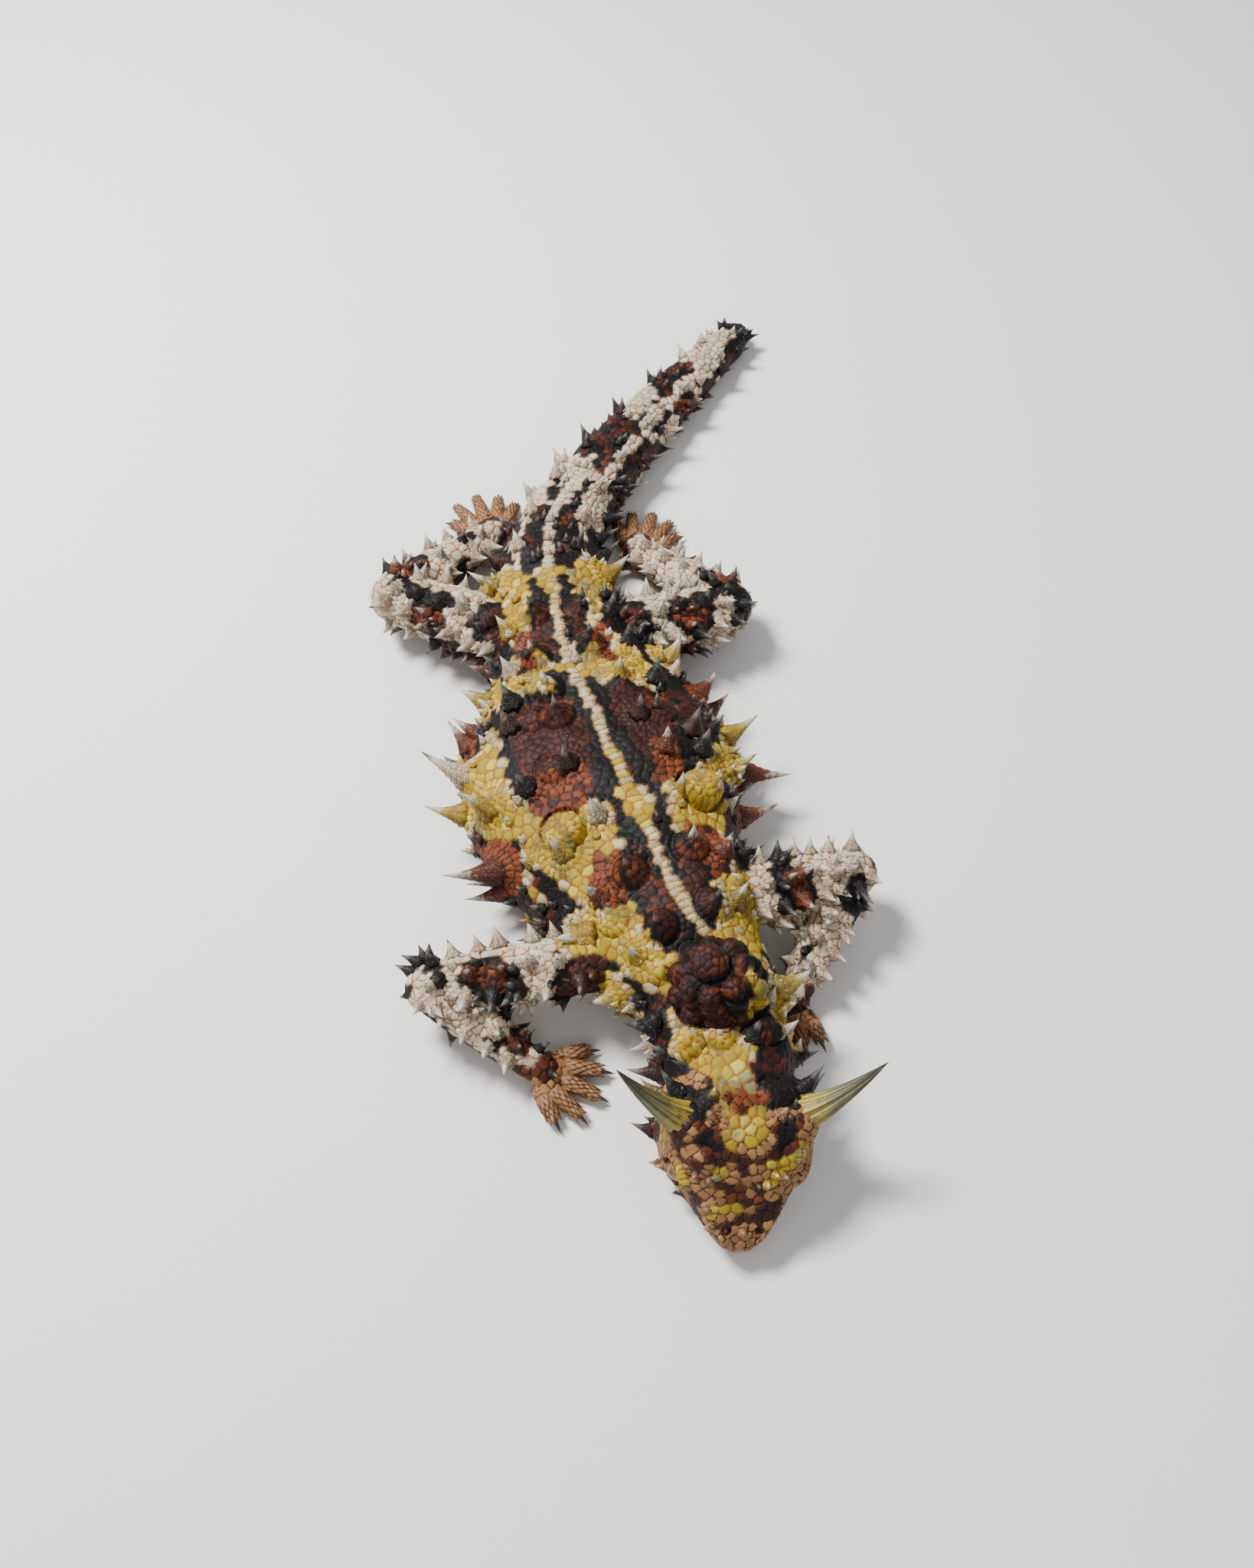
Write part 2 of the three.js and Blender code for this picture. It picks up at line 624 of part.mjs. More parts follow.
// A brow horn, swept back from its root in the skull
function hornSolid(side) {
  const root = inHead(HORN_ROOT, side);
  const start = headWay(HORN_START, side);
  const bend = headWay(HORN_BEND, side);
  const reach = HORN_LENGTH + HORN_SUNK;
  const rings = [0, 0.16, 0.34, 0.54, 0.74, 0.9, 1].map((f) => {
    const centre = root
      .clone()
      .addScaledVector(start, f * reach)
      .addScaledVector(bend, f * f * HORN_SWEEP);
    const wide = Math.max(HORN_RADIUS * (1 - f) ** 0.8, HORN_TIP);
    const way = start.clone().addScaledVector(bend, (2 * f * HORN_SWEEP) / reach).normalize();
    const u = way.clone().cross(headForward).normalize();
    const v = way.clone().cross(u).normalize();
    return ringOf(centre, u, v, HORN_FLATNESS * wide, wide, HORN_SIDES);
  });
  return skinOver(rings);
}
for (const [side, name] of [[1, "left"], [-1, "right"]]) {
  const horn = hornSolid(side).subtract(swollen.head).subtract(lidBall(side, ROOM));
  flesh[`horn_${name}`] = largest(horn);
  flesh[`eye_${name}`] = ball(inHead(EYE, side), [EYE_RADIUS, EYE_RADIUS, EYE_RADIUS], 10);
  swollen[`horn_${name}`] = flesh[`horn_${name}`];
  swollen[`eye_${name}`] = flesh[`eye_${name}`];
}

// The knob on the nape, with its two bosses and a ring of beads
const knobBase = axisBody.point(2.35, Math.PI / 2).add(new THREE.Vector3(-0.2, 0.4, -0.6));
const onKnob = (x, y, z) => knobBase.clone().add(new THREE.Vector3(x, y, z));
let knob = ball(knobBase, [KNOB_RADIUS, KNOB_RADIUS * 0.95, KNOB_HEIGHT], 14);
for (const [x, y, z, wide, tall] of KNOB_BOSSES) {
  knob = knob.add(ball(onKnob(x, y, z), [wide, wide, tall], 8));
}
for (let k = 0; k < KNOB_BEADS; k++) {
  const angle = (2 * Math.PI * k) / KNOB_BEADS;
  const x = 0.8 * KNOB_RADIUS * Math.cos(angle);
  const y = 0.76 * KNOB_RADIUS * Math.sin(angle);
  const bead = ball(onKnob(x, y, 0.56 * KNOB_HEIGHT), [BEAD_RADIUS, BEAD_RADIUS, BEAD_RADIUS], 5);
  knob = knob.add(bead);
}
flesh.nape_knob = largest(knob.subtract(swollen.neck).subtract(swollen.trunk));
swollen.nape_knob = ball(knobBase, [KNOB_RADIUS + 1, KNOB_RADIUS + 1, KNOB_HEIGHT + 2], 14);

// A thorn: a cone with its root sunk below the skin, drawn in above its foot where it is tall
function thorn(foot, direction, length, radius) {
  const way = direction.clone().normalize();
  const u = new THREE.Vector3(1, 0, 0).applyQuaternion(new THREE.Quaternion().setFromUnitVectors(Z_UP, way));
  const v = way.clone().cross(u);
  const sunk = Math.min(0.9 * radius, 1.4);
  const profile = [[-sunk, radius]];
  if (length > TALL_THORN) profile.push([0.4 * length, 0.4 * radius]);
  const rings = profile.map(([height, wide]) =>
    ringOf(foot.clone().addScaledVector(way, height), u, v, wide, wide, THORN_SIDES),
  );
  const points = rings.flat();
  const tip = points.push(foot.clone().addScaledVector(way, length)) - 1;
  const faces = bands(rings.length, THORN_SIDES);
  const top = (rings.length - 1) * THORN_SIDES;
  for (let j = 0; j < THORN_SIDES; j++) faces.push([top + j, top + ((j + 1) % THORN_SIDES), tip]);
  for (let j = 1; j + 1 < THORN_SIDES; j++) faces.push([0, j + 1, j]);
  return solidFrom(points, faces);
}

// Thorns of each node, kept where they are clear of the floor and of all that other nodes hold
const rooms = [];
const thorns = {};
function keepRoom(name, solid) {
  rooms.push({ name, solid, box: boxOf(solid) });
}
for (const [name, solid] of Object.entries(swollen)) keepRoom(name, solid);
function plant(node, foot, direction, length, radius) {
  const solid = thorn(foot, direction, length, radius);
  const box = boxOf(solid);
  const meets = (room) =>
    room.name !== node && room.box.intersectsBox(box) && volumeOf(solid.intersect(room.solid)) > 1e-6;
  if (box.min.z < FLOOR_ROOM || rooms.some(meets)) return;
  (thorns[node] ??= []).push(solid);
  keepRoom(node, thorn(foot, direction, length + ROOM, radius + ROOM));
}

function plantOnAxis(t, degrees, length, radius, lean) {
  const [node] = AXIS_PIECES.find(([, , end]) => t < end);
  const angle = radians(degrees);
  const foot = axisBody.point(t, angle);
  const direction = axisBody.normal(t, angle).addScaledVector(axisBody.backward(t, angle), lean);
  if (foot.z < 6) direction.z = Math.max(direction.z, 0.12);
  plant(node, foot, direction, length, radius);
}

// Rows of the trunk and tail
const vary = seeded(SEED);
for (const row of AXIS_ROWS) {
  for (let k = 0; k < row.count; k++) {
    const share = k / (row.count - 1);
    const onTail = row.from > TAIL_START;
    const size = onTail ? 1 - 0.45 * share : 1 - 0.25 * Math.abs(share - 0.45);
    for (const mirrored of [false, true]) {
      const t = between(row.from, row.to, share) + (vary() - 0.5) * 0.16;
      const degrees = (mirrored ? 180 - row.angle : row.angle) + (vary() - 0.5) * 5;
      const grow = size * (0.9 + 0.2 * vary());
      plantOnAxis(t, degrees, row.length * grow, row.radius * grow, row.lean);
    }
  }
}

// Thorns of the flanks, neck and head
for (const [t, degrees, length, radius] of FLANK_THORNS) {
  plantOnAxis(t, degrees, length, radius, FLANK_LEAN);
}
for (const [t, degrees, length, radius] of NECK_THORNS) {
  plantOnAxis(t, degrees, length, radius, NECK_LEAN);
}
for (const side of [1, -1]) {
  for (const [forward, across, up, length, radius] of HEAD_THORNS) {
    const row = HEAD.findIndex(([distance]) => distance >= forward);
    const t = row - (HEAD[row][0] - forward) / (HEAD[row][0] - HEAD[row - 1][0]);
    const angle = Math.atan2(up, side * across);
    const direction = headBody.normal(t, angle).addScaledVector(headForward, -HEAD_LEAN);
    plant("head", headBody.point(t, angle), direction, length, radius);
  }
}

// Rows of the limbs
for (const { bodies, names, outer } of Object.values(limbParts)) {
  for (const row of LIMB_ROWS) {
    const body = bodies[row.part];
    for (let k = 0; k < row.count; k++) {
      const t = between(row.from, row.to, k / (row.count - 1)) + (vary() - 0.5) * 0.05;
      const degrees = outer > 0 ? row.angle : 180 - row.angle;
      const angle = radians(degrees + (vary() - 0.5) * 12);
      const grow = 0.85 + 0.35 * vary();
      const foot = body.point(t, angle);
      plant(names[row.part], foot, body.normal(t, angle), row.length * grow, row.radius * grow);
    }
  }
}

function materialOf(name) {
  const [, colour, roughness] = FINISHES.find(([word]) => name.includes(word));
  return new THREE.MeshStandardMaterial({ color: new THREE.Color(...colour), roughness, metalness: 0 });
}

const thornyDevil = new THREE.Group();
for (const [name, body] of Object.entries(flesh)) {
  const joined = (thorns[name] ?? []).reduce((whole, piece) => whole.add(piece), body);
  const standing = largest(trim(joined, Z_UP, new THREE.Vector3()));
  const mesh = new THREE.Mesh(toGeometry(standing), materialOf(name));
  mesh.name = name;
  thornyDevil.add(mesh);
}

export default thornyDevil;
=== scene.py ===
"""A life-size thorny devil lizard: one scaly skin with its markings, thorns, horns, claws, eyes and lids."""
import math

import bpy
import numpy as np
from bpy.props import FloatProperty, FloatVectorProperty, PointerProperty
from mathutils import Matrix, Vector, noise
from mathutils.kdtree import KDTree


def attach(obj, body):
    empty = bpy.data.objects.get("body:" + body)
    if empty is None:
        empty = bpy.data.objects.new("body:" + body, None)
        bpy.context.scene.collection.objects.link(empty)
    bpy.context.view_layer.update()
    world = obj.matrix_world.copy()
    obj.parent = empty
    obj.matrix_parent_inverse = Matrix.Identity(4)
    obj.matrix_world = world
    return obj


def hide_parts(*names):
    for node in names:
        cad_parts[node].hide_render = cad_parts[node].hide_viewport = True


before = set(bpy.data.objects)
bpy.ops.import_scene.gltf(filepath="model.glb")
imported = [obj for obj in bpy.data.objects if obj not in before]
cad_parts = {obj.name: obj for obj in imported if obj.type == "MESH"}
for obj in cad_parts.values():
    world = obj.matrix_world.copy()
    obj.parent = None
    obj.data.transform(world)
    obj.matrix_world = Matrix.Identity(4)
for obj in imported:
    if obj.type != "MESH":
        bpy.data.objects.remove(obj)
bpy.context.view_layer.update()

bl_info = {
    "name": "Thorny devil",
    "version": (1, 0, 0),
    "blender": (4, 5, 0),
    "location": "3D View > Sidebar > Lizard",
    "description": "A thorny devil lizard with a scaly skin, thorns, horns, claws, eyes and lids",
    "category": "Object",
}

MM = 0.001
UP = np.array([0.0, 0.0, 1.0])

# Neck, trunk and tail. Each station holds x, y, height of the widest level, half width, rise to the back,
# drop to the belly, shift of the back's ridge.
AXIS = np.array([
    [12.4, -43.0, 8.8, 7.0, 5.8, 5.2, 0.0],
    [12.1, -38.5, 8.4, 7.6, 6.2, 5.0, 0.2],
    [11.2, -33.0, 8.0, 8.0, 6.6, 5.2, 0.4],
    [9.0, -27.0, 7.6, 9.0, 7.2, 6.2, 0.7],
    [5.6, -20.5, 6.8, 11.2, 9.0, 6.9, 1.4],
    [2.2, -13.0, 6.0, 13.6, 10.0, 6.4, 2.0],
    [-1.2, -5.0, 5.8, 16.2, 10.4, 6.2, 2.4],
    [-3.7, 2.6, 5.6, 18.5, 10.4, 6.0, 2.0],
    [-3.8, 9.6, 5.6, 17.2, 9.8, 6.0, -0.2],
    [-4.9, 16.4, 5.8, 14.7, 9.0, 6.2, -2.0],
    [-6.9, 23.0, 6.2, 12.0, 8.0, 6.6, -2.2],
    [-9.0, 29.5, 6.4, 10.0, 7.4, 6.8, -1.2],
    [-10.7, 36.0, 6.4, 8.4, 6.8, 6.8, -0.4],
    [-11.4, 43.0, 6.0, 7.2, 6.4, 6.4, 0.0],
    [-10.4, 50.0, 5.4, 6.4, 5.8, 5.8, 0.0],
    [-7.2, 58.0, 4.8, 5.6, 5.1, 5.2, 0.0],
    [-2.8, 66.0, 4.3, 4.9, 4.5, 4.7, 0.0],
    [2.4, 74.5, 3.9, 4.4, 4.0, 4.2, 0.0],
    [8.4, 83.4, 3.4, 3.8, 3.4, 3.7, 0.0],
    [14.2, 91.8, 2.9, 3.2, 2.9, 3.2, 0.0],
    [17.9, 97.2, 2.5, 2.5, 2.4, 2.8, 0.0],
    [19.8, 100.0, 2.2, 1.2, 1.2, 1.6, 0.0],
])
AXIS_FULLNESS = 2.35
# Stations: end of the back's warm cream, start of the tail's own markings and finer scales, start of its
# black tip
BACK_END = 12.3
TAIL_START = 12.4
TAIL_TIP = 19.8

# The head in its own frame: forward distance, then half width, crown height and chin depth
HEAD = np.array([
    [-0.6, 7.6, 5.8, 6.6],
    [1.6, 8.6, 6.6, 7.0],
    [4.0, 9.2, 7.1, 7.3],
    [7.0, 9.0, 7.1, 7.3],
    [9.6, 8.0, 6.0, 7.0],
    [11.8, 6.7, 4.2, 6.6],
    [13.8, 5.3, 2.2, 6.1],
    [15.6, 4.2, 0.7, 5.7],
    [17.2, 3.2, -0.5, 5.2],
    [18.2, 2.2, -1.4, 4.6],
    [18.7, 0.9, -2.2, 4.0],
])
HEAD_FULLNESS = 2.5
HEAD_ORIGIN = np.array([12.2, -40.2, 8.4])
HEAD_TURN = np.array(
    Matrix.Rotation(math.radians(4), 3, "Z")
    @ Matrix.Rotation(math.radians(9), 3, "X")
    @ Matrix.Rotation(math.radians(9), 3, "Y")
)
# The mouth's height and its corner's forward distance, and the left eye's place, all in the head's frame
MOUTH_LEVEL = -3.4
MOUTH_BACK = 6.2
EYE = (9.8, 7.0, 0.9)
EYE_RADIUS = 1.45
EYE_RINGS, EYE_SIDES = 32, 40
# Left ear and nostril: place, radius and depth
EAR = ((2.6, 9.0, -1.2), 1.25, 1.0)
NOSTRIL = ((16.9, 1.9, -0.35), 0.5, 0.7)
# Brow horns: length and radius, then length and radius that the mound of skin round each is made for
HORN_LENGTH, HORN_RADIUS = 11.4, 2.9
HORN_MOUND = (6.5, 2.7)

# Limbs: joints from root to wrist or ankle, radii there, and the hand's heading, fan and reach
LIMBS = {
    "fore_right": (
        ([-1.5, -23.6, 8.4], [-24.6, -27.0, 7.4], [-12.2, -35.0, 3.0]), (3.7, 3.0, 2.0), -24, 19, 7.2
    ),
    "fore_left": (
        ([13.0, -15.6, 8.6], [29.4, -10.8, 7.6], [21.6, -25.0, 3.0]), (3.7, 3.0, 2.1), -112, 24, 6.2
    ),
    "hind_right": (
        ([-13.0, 26.6, 6.8], [-34.2, 36.6, 6.6], [-20.6, 52.0, 3.0]), (4.8, 3.6, 2.2), 110, 19, 7.6
    ),
    "hind_left": (
        ([-4.0, 27.4, 6.8], [14.8, 34.6, 6.6], [1.4, 48.6, 3.0]), (4.8, 3.6, 2.2), 74, 18, 7.2
    ),
}
DIGITS = 5
DIGIT_SHARES = (0.72, 0.95, 1.05, 0.98, 0.7)
DIGIT_RADIUS = 0.95
# Widths of a digit at its root, knuckle, last joint and end, of the flesh and under the toe scales
DIGIT_FLESH = (0.95, 1.05, 0.9, 0.7)
DIGIT_CORE = (0.85, 0.95, 0.82, 0.62)
CLAW_LENGTH, CLAW_RADIUS, CLAW_DROP = 2.7, 0.52, 0.85

# The knob on the nape: its half sizes, then each boss's place from the knob's centre, half width and half
# height, and the middle of the ringed boss, also from the centre
KNOB_SIZE = np.array([5.4, 5.13, 6.2])
KNOB_BOSSES = ((-1.3, 0.6, 5.0, 2.5, 2.2), (2.9, -1.0, 3.9, 1.9, 2.0))
BOSS_TOP = np.array([-1.3, 0.6, 7.2])
# Radius of that boss, without and with its black ring
BOSS_RADIUS, BOSS_RING = 2.7, 3.7
# Rows of beads round the knob: angle above its middle, count and radius
KNOB_BEADS = ((10, 10, 1.45), (35, 9, 1.5))

# Colours of the markings
CREAM, YELLOW, RED, BROWN, BLACK, TAN = range(6)

# Rows of thorns: first and last station, count, angle, length, root radius, lean backwards
AXIS_ROWS = (
    (3.85, 10.85, 8, 74, 3.4, 1.9, 0.15),
    (3.7, 10.7, 8, 52, 3.6, 2.1, 0.2),
    (4.6, 11.2, 7, 31, 2.6, 1.3, 0.2),
    (5.0, 11.0, 6, -3, 4.4, 1.6, 0.25),
    (5.4, 10.2, 5, -22, 3.2, 1.3, 0.25),
    (12.85, 19.85, 8, 60, 3.0, 1.5, 0.45),
    (12.9, 20.3, 10, 16, 4.2, 1.5, 0.45),
    (13.0, 19.8, 8, -14, 2.8, 1.05, 0.4),
)
# Large thorns of the flanks: station, angle, length, root radius, colour
FLANK_THORNS = (
    (3.5, 6, 5.0, 1.8, BROWN), (3.95, 20, 7.2, 2.2, CREAM), (5.55, 8, 6.6, 2.0, RED),
    (6.35, 24, 4.2, 1.9, YELLOW), (7.1, 6, 7.8, 2.3, RED), (7.25, 24, 4.6, 1.9, YELLOW),
    (7.95, 11, 5.6, 2.1, YELLOW), (8.75, 11, 4.4, 1.8, RED), (9.35, 23, 4.0, 2.2, YELLOW),
    (10.2, 14, 4.4, 1.9, BROWN), (12.1, 21, 4.8, 2.1, YELLOW), (3.5, 172, 4.2, 1.7, YELLOW),
    (4.4, 155, 4.0, 2.3, YELLOW), (5.85, 184, 6.0, 1.9, BROWN), (6.05, 173, 8.4, 2.4, RED),
    (6.75, 151, 5.6, 2.3, YELLOW), (6.95, 176, 5.6, 2.0, YELLOW), (7.2, 165, 7.2, 2.3, YELLOW),
    (7.75, 170, 5.2, 2.0, RED), (8.45, 165, 4.4, 1.9, RED), (9.4, 161, 4.6, 2.3, YELLOW),
    (10.3, 168, 4.2, 1.8, BROWN), (12.2, 159, 5.0, 2.1, YELLOW),
)
# Thorns of the neck: station, angle, length, root radius
NECK_THORNS = (
    (1.35, 72, 2.6, 1.9), (1.45, 118, 2.2, 1.9), (1.4, 40, 3.0, 1.7), (1.3, 150, 3.2, 1.7),
    (1.1, 4, 3.6, 1.5), (1.1, 176, 4.6, 1.7), (2.25, 22, 5.2, 2.3), (2.3, 158, 4.4, 2.1),
    (2.2, -8, 3.0, 1.3), (2.2, 188, 3.0, 1.3),
)
# Tubercles: station, distance from the ridge (left side positive), radius, height
DOMES = (
    (5.9, -10.5, 2.7, 1.5), (5.8, 8.5, 2.9, 1.6), (6.9, -8.6, 2.1, 1.0), (6.9, 8.6, 2.1, 1.0),
    (8.0, -8.8, 2.1, 0.9), (8.0, 8.8, 2.1, 0.9), (1.4, -5.4, 2.0, 1.4), (1.4, -1.2, 1.8, 1.2),
    (1.45, 4.2, 1.9, 1.4), (3.2, -6.2, 1.4, 0.7), (4.35, -8.8, 2.1, 0.9), (4.0, 8.6, 2.0, 0.9),
    (9.1, -8.0, 1.9, 0.8), (9.1, 7.6, 1.9, 0.8),
)
# Thorns of the head, left side: forward, side, up, length, radius
HEAD_THORNS = (
    (2.2, 6.2, 5.0, 4.2, 1.6), (1.6, 8.4, 1.6, 3.4, 1.3), (4.6, 9.2, -2.6, 3.0, 1.2),
    (8.0, 8.6, -4.2, 2.0, 0.9), (3.4, 8.6, -5.4, 2.2, 1.0), (5.2, 3.0, 7.4, 1.5, 1.2),
    (11.6, 3.2, 4.6, 1.1, 0.9), (14.4, 2.6, 1.8, 1.0, 0.75), (11.4, 6.6, -4.6, 1.4, 0.8),
)
# Rows on the limbs: lower segment or not, first and last place, count, angle, length, radius
LIMB_ROWS = (
    (0, 0.28, 0.95, 5, 78, 2.2, 1.0), (0, 0.22, 0.98, 6, 30, 3.0, 1.15), (0, 0.3, 1.0, 6, 145, 2.6, 1.1),
    (0, 0.3, 0.95, 5, -12, 2.0, 0.9), (1, 0.02, 0.85, 5, 150, 2.3, 0.95), (1, 0.0, 0.85, 5, 95, 1.9, 0.9),
    (1, 0.05, 0.85, 5, 40, 2.1, 0.9), (1, 0.1, 0.8, 4, 0, 2.0, 0.85),
)

# Forms that a point can lie on
AXIAL, HEADED, LIMB, HAND, KNOB = range(5)
# Shares of their measures by which the head and the knob claim points where forms meet, and the hands' reach
HEAD_CLAIM, KNOB_CLAIM, HAND_REACH = 0.97, 0.93, 1.1


def spline(table, place):
    """Rows along a smooth curve through a table, at many places."""
    place = np.asarray(place, float)
    last = len(table) - 1
    i = np.clip(np.floor(place).astype(int), 0, last - 1)
    f = (place - i)[..., None]
    a, b, c, d = (table[np.clip(i + k, 0, last)] for k in (-1, 0, 1, 2))
    return 0.5 * (2 * b + (c - a) * f + (2 * a - 5 * b + 4 * c - d) * f**2 + (3 * b - a - 3 * c + d) * f**3)


def unit(v):
    return v / np.maximum(np.linalg.norm(v, axis=-1, keepdims=True), 1e-12)


def step(low, high, value):
    """A smooth step from 0 at low to 1 at high."""
    x = np.clip((value - low) / (high - low), 0, 1)
    return x * x * (3 - 2 * x)


def level_way(angle):
    return np.array([math.cos(angle), math.sin(angle), 0])


def from_line(points, start, end):
    """How far along a line each point lies, from 0 to 1, and its distance from the line."""
    way = end - start
    reach = np.clip((points - start) @ way / (way @ way), 0, 1)
    return reach, np.linalg.norm(points - start - reach[:, None] * way, axis=1)


def in_head(forward, side, up):
    return HEAD_ORIGIN + HEAD_TURN @ np.array([side, -forward, up], float)


def head_way(forward, side, up):
    return HEAD_TURN @ np.array([side, -forward, up], float)


def eye_frame(side):
    """Centre of an eye, its gaze, and the level and upright ways across it."""
    gaze = unit(head_way(0.35, side, 0.12))
    level = unit(np.cross(gaze, head_way(0, 0, 1)))
    return in_head(EYE[0], side * EYE[1], EYE[2]), gaze, level, np.cross(level, gaze)


class AxisForm:
    """Neck, trunk and tail: upright rounded sections square to the axis."""

    fullness = AXIS_FULLNESS

    def frame(self, t):
        ahead = unit(spline(AXIS, t + 0.1)[..., :2] - spline(AXIS, t - 0.1)[..., :2])
        side = np.stack([ahead[..., 1], -ahead[..., 0], 0 * ahead[..., 0]], -1)
        return spline(AXIS, t)[..., :3], side, np.broadcast_to(UP, side.shape)

    def size(self, t):
        return spline(AXIS, t)[..., 3:]


class HeadForm:
    """The head: rounded sections across its own frame."""

    fullness = HEAD_FULLNESS

    def frame(self, t):
        forward = spline(HEAD, t)[..., 0]
        centre = HEAD_ORIGIN + forward[..., None] * head_way(1, 0, 0)
        side = np.broadcast_to(head_way(0, 1, 0), centre.shape)
        return centre, side, np.broadcast_to(head_way(0, 0, 1), centre.shape)

    def size(self, t):
        sizes = spline(HEAD, t)[..., 1:]
        return np.concatenate([sizes, 0 * sizes[..., :1]], -1)


class SegmentForm:
    """A limb segment with rounded ends and a fuller middle."""

    fullness = 2

    def __init__(self, start, end, start_radius, end_radius):
        self.start, self.end = np.array(start, float), np.array(end, float)
        self.radii = (start_radius, end_radius)
        self.length = np.linalg.norm(self.end - self.start)
        self.way = (self.end - self.start) / self.length
        self.side = unit(np.cross(self.way, UP))
        self.up = unit(np.cross(self.side, self.way))

    def frame(self, t):
        centre = self.start + np.asarray(t)[..., None] * (self.end - self.start)
        return centre, np.broadcast_to(self.side, centre.shape), np.broadcast_to(self.up, centre.shape)

    def radius(self, t):
        inner = np.clip(t, 0, 1)
        first, last = self.radii
        plain = (first + (last - first) * inner) * (1 + 0.12 * np.sin(np.pi * inner))
        past = np.where(t < 0, -t * self.length / first, np.maximum(0, (t - 1) * self.length / last))
        return plain * np.sqrt(np.maximum(1 - past**2, 0.02))

    def size(self, t):
        radius = self.radius(np.asarray(t, float))
        return np.stack([radius, radius, radius, 0 * radius], -1)

    def ends(self):
        """Where its rounded ends stop, past its two joints."""
        return -0.92 * self.radii[0] / self.length, 1 + 0.92 * self.radii[1] / self.length

    def place(self, points):
        """How far along each point lies, from 0 to 1, and how far out, where 1 is the surface."""
        reach = np.clip((points - self.start) @ self.way / self.length, 0, 1)
        gap = np.linalg.norm(points - self.start - reach[:, None] * (self.end - self.start), axis=1)
        return reach, gap / self.radius(reach)


def surface(form, t, angle):
    """Points of a form's surface."""
    t, angle = np.broadcast_arrays(np.asarray(t, float), np.asarray(angle, float))
    centre, side, up = form.frame(t)
    half, rise, drop, shift = np.moveaxis(form.size(t), -1, 0)
    power = 2 / form.fullness
    c, s = np.cos(angle), np.sin(angle)
    across = np.sign(c) * np.abs(c) ** power
    high = np.sign(s) * np.abs(s) ** power
    height = np.where(high > 0, high * rise, high * drop)
    return centre + (across * half + np.maximum(high, 0) * shift)[..., None] * side + height[..., None] * up


def surface_normal(form, t, angle):
    here = surface(form, t, angle)
    around = surface(form, t, angle + 0.02) - surface(form, t, angle - 0.02)
    along = surface(form, t + 0.02, angle) - surface(form, t - 0.02, angle)
    normal = unit(np.cross(around, along))
    outward = here - form.frame(np.asarray(t, float))[0]
    return normal if (normal * outward).sum() > 0 else -normal


def backward(form, t, angle):
    return unit(surface(form, t + 0.05, angle) - surface(form, t - 0.05, angle))


def head_row(forward):
    """The row of the head's table at a forward distance."""
    return np.interp(forward, HEAD[:, 0], np.arange(len(HEAD)))


AXIS_FORM, HEAD_FORM = AxisForm(), HeadForm()
KNOB_CENTRE = surface(AXIS_FORM, 2.35, math.pi / 2) + np.array([-0.2, 0.4, -0.6])
SEGMENTS = {
    name: [
        SegmentForm(joints[0], joints[1], radii[0], radii[1]),
        SegmentForm(joints[1], joints[2], radii[1], radii[2]),
    ]
    for name, (joints, radii, *_) in LIMBS.items()
}


def digit_paths(name):
    """Start, knuckle, last joint and claw tip of each digit."""
    joints, _, heading, fan, reach = LIMBS[name]
    end = np.array(joints[2])
    ahead = level_way(math.radians(heading))
    across = np.cross(UP, ahead)
    paths = []
    for k in range(DIGITS):
        way = level_way(math.radians((k - 2) * fan + heading))
        long = reach * DIGIT_SHARES[k]
        start = end + 2.2 * ahead + (k - 2) * 1.05 * across
        start[2] = 0
        places = [(0, 1.3), (0.35 * long, 1.45), (0.62 * long, 1.3), (long - 1.1, 1.15), (long + 1.3, 0.5)]
        paths.append(([start + way * d + UP * z for d, z in places], way))
    return paths, ahead


def ring_quads(rows, sides):
    """Quads between neighbouring rings of corners."""
    i, j = np.meshgrid(np.arange(rows), np.arange(sides), indexing="ij")
    k = (j + 1) % sides
    quads = [i * sides + j, i * sides + k, (i + 1) * sides + k, (i + 1) * sides + j]
    return np.stack(quads, -1).reshape(-1, 4)


def closed_loft(rings):
    """Corners and quads of a skin over rings, drawn nearly shut at each end."""
    count, sides = rings.shape[:2]
    first, last = (0.02 * ring + 0.98 * ring.mean(0) for ring in (rings[0], rings[-1]))
    return np.concatenate([first[None], rings, last[None]]).reshape(-1, 3), ring_quads(count + 1, sides)


def joined(lofts):
    """Corners and quads of many lofts as one."""
    points, quads, offset = [], [], 0
    for corners, faces in lofts:
        points.append(corners)
        quads.append(faces + offset)
        offset += len(corners)
    return np.concatenate(points), np.concatenate(quads)


def form_loft(form, first, last, rings, sides):
    t = np.linspace(first, last, rings)[:, None]
    angle = (2 * np.pi * (np.arange(sides) + 0.5) / sides)[None]
    return closed_loft(surface(form, t, angle))


def tube(points, radii, sides=12):
    """A rounded tube along points that lie nearly level."""
    points, radii = np.array(points), np.array(radii)
    way = unit(np.gradient(points, axis=0))
    side = unit(np.cross(way, UP))
    up = np.cross(side, way)
    angle = 2 * np.pi * np.arange(sides) / sides
    circle = np.cos(angle)[None, :, None] * side[:, None] + np.sin(angle)[None, :, None] * up[:, None]
    return closed_loft(points[:, None] + radii[:, None, None] * circle)


def ball(centre, size, rings=14, sides=20):
    polar = np.linspace(0.03, np.pi - 0.03, rings)[:, None]
    angle = (2 * np.pi * np.arange(sides) / sides)[None]
    x = np.sin(polar) * np.cos(angle)
    y = np.sin(polar) * np.sin(angle)
    z = np.cos(polar) + 0 * angle
    return closed_loft(np.array(centre) + np.stack([x, y, z], -1) * np.array(size))


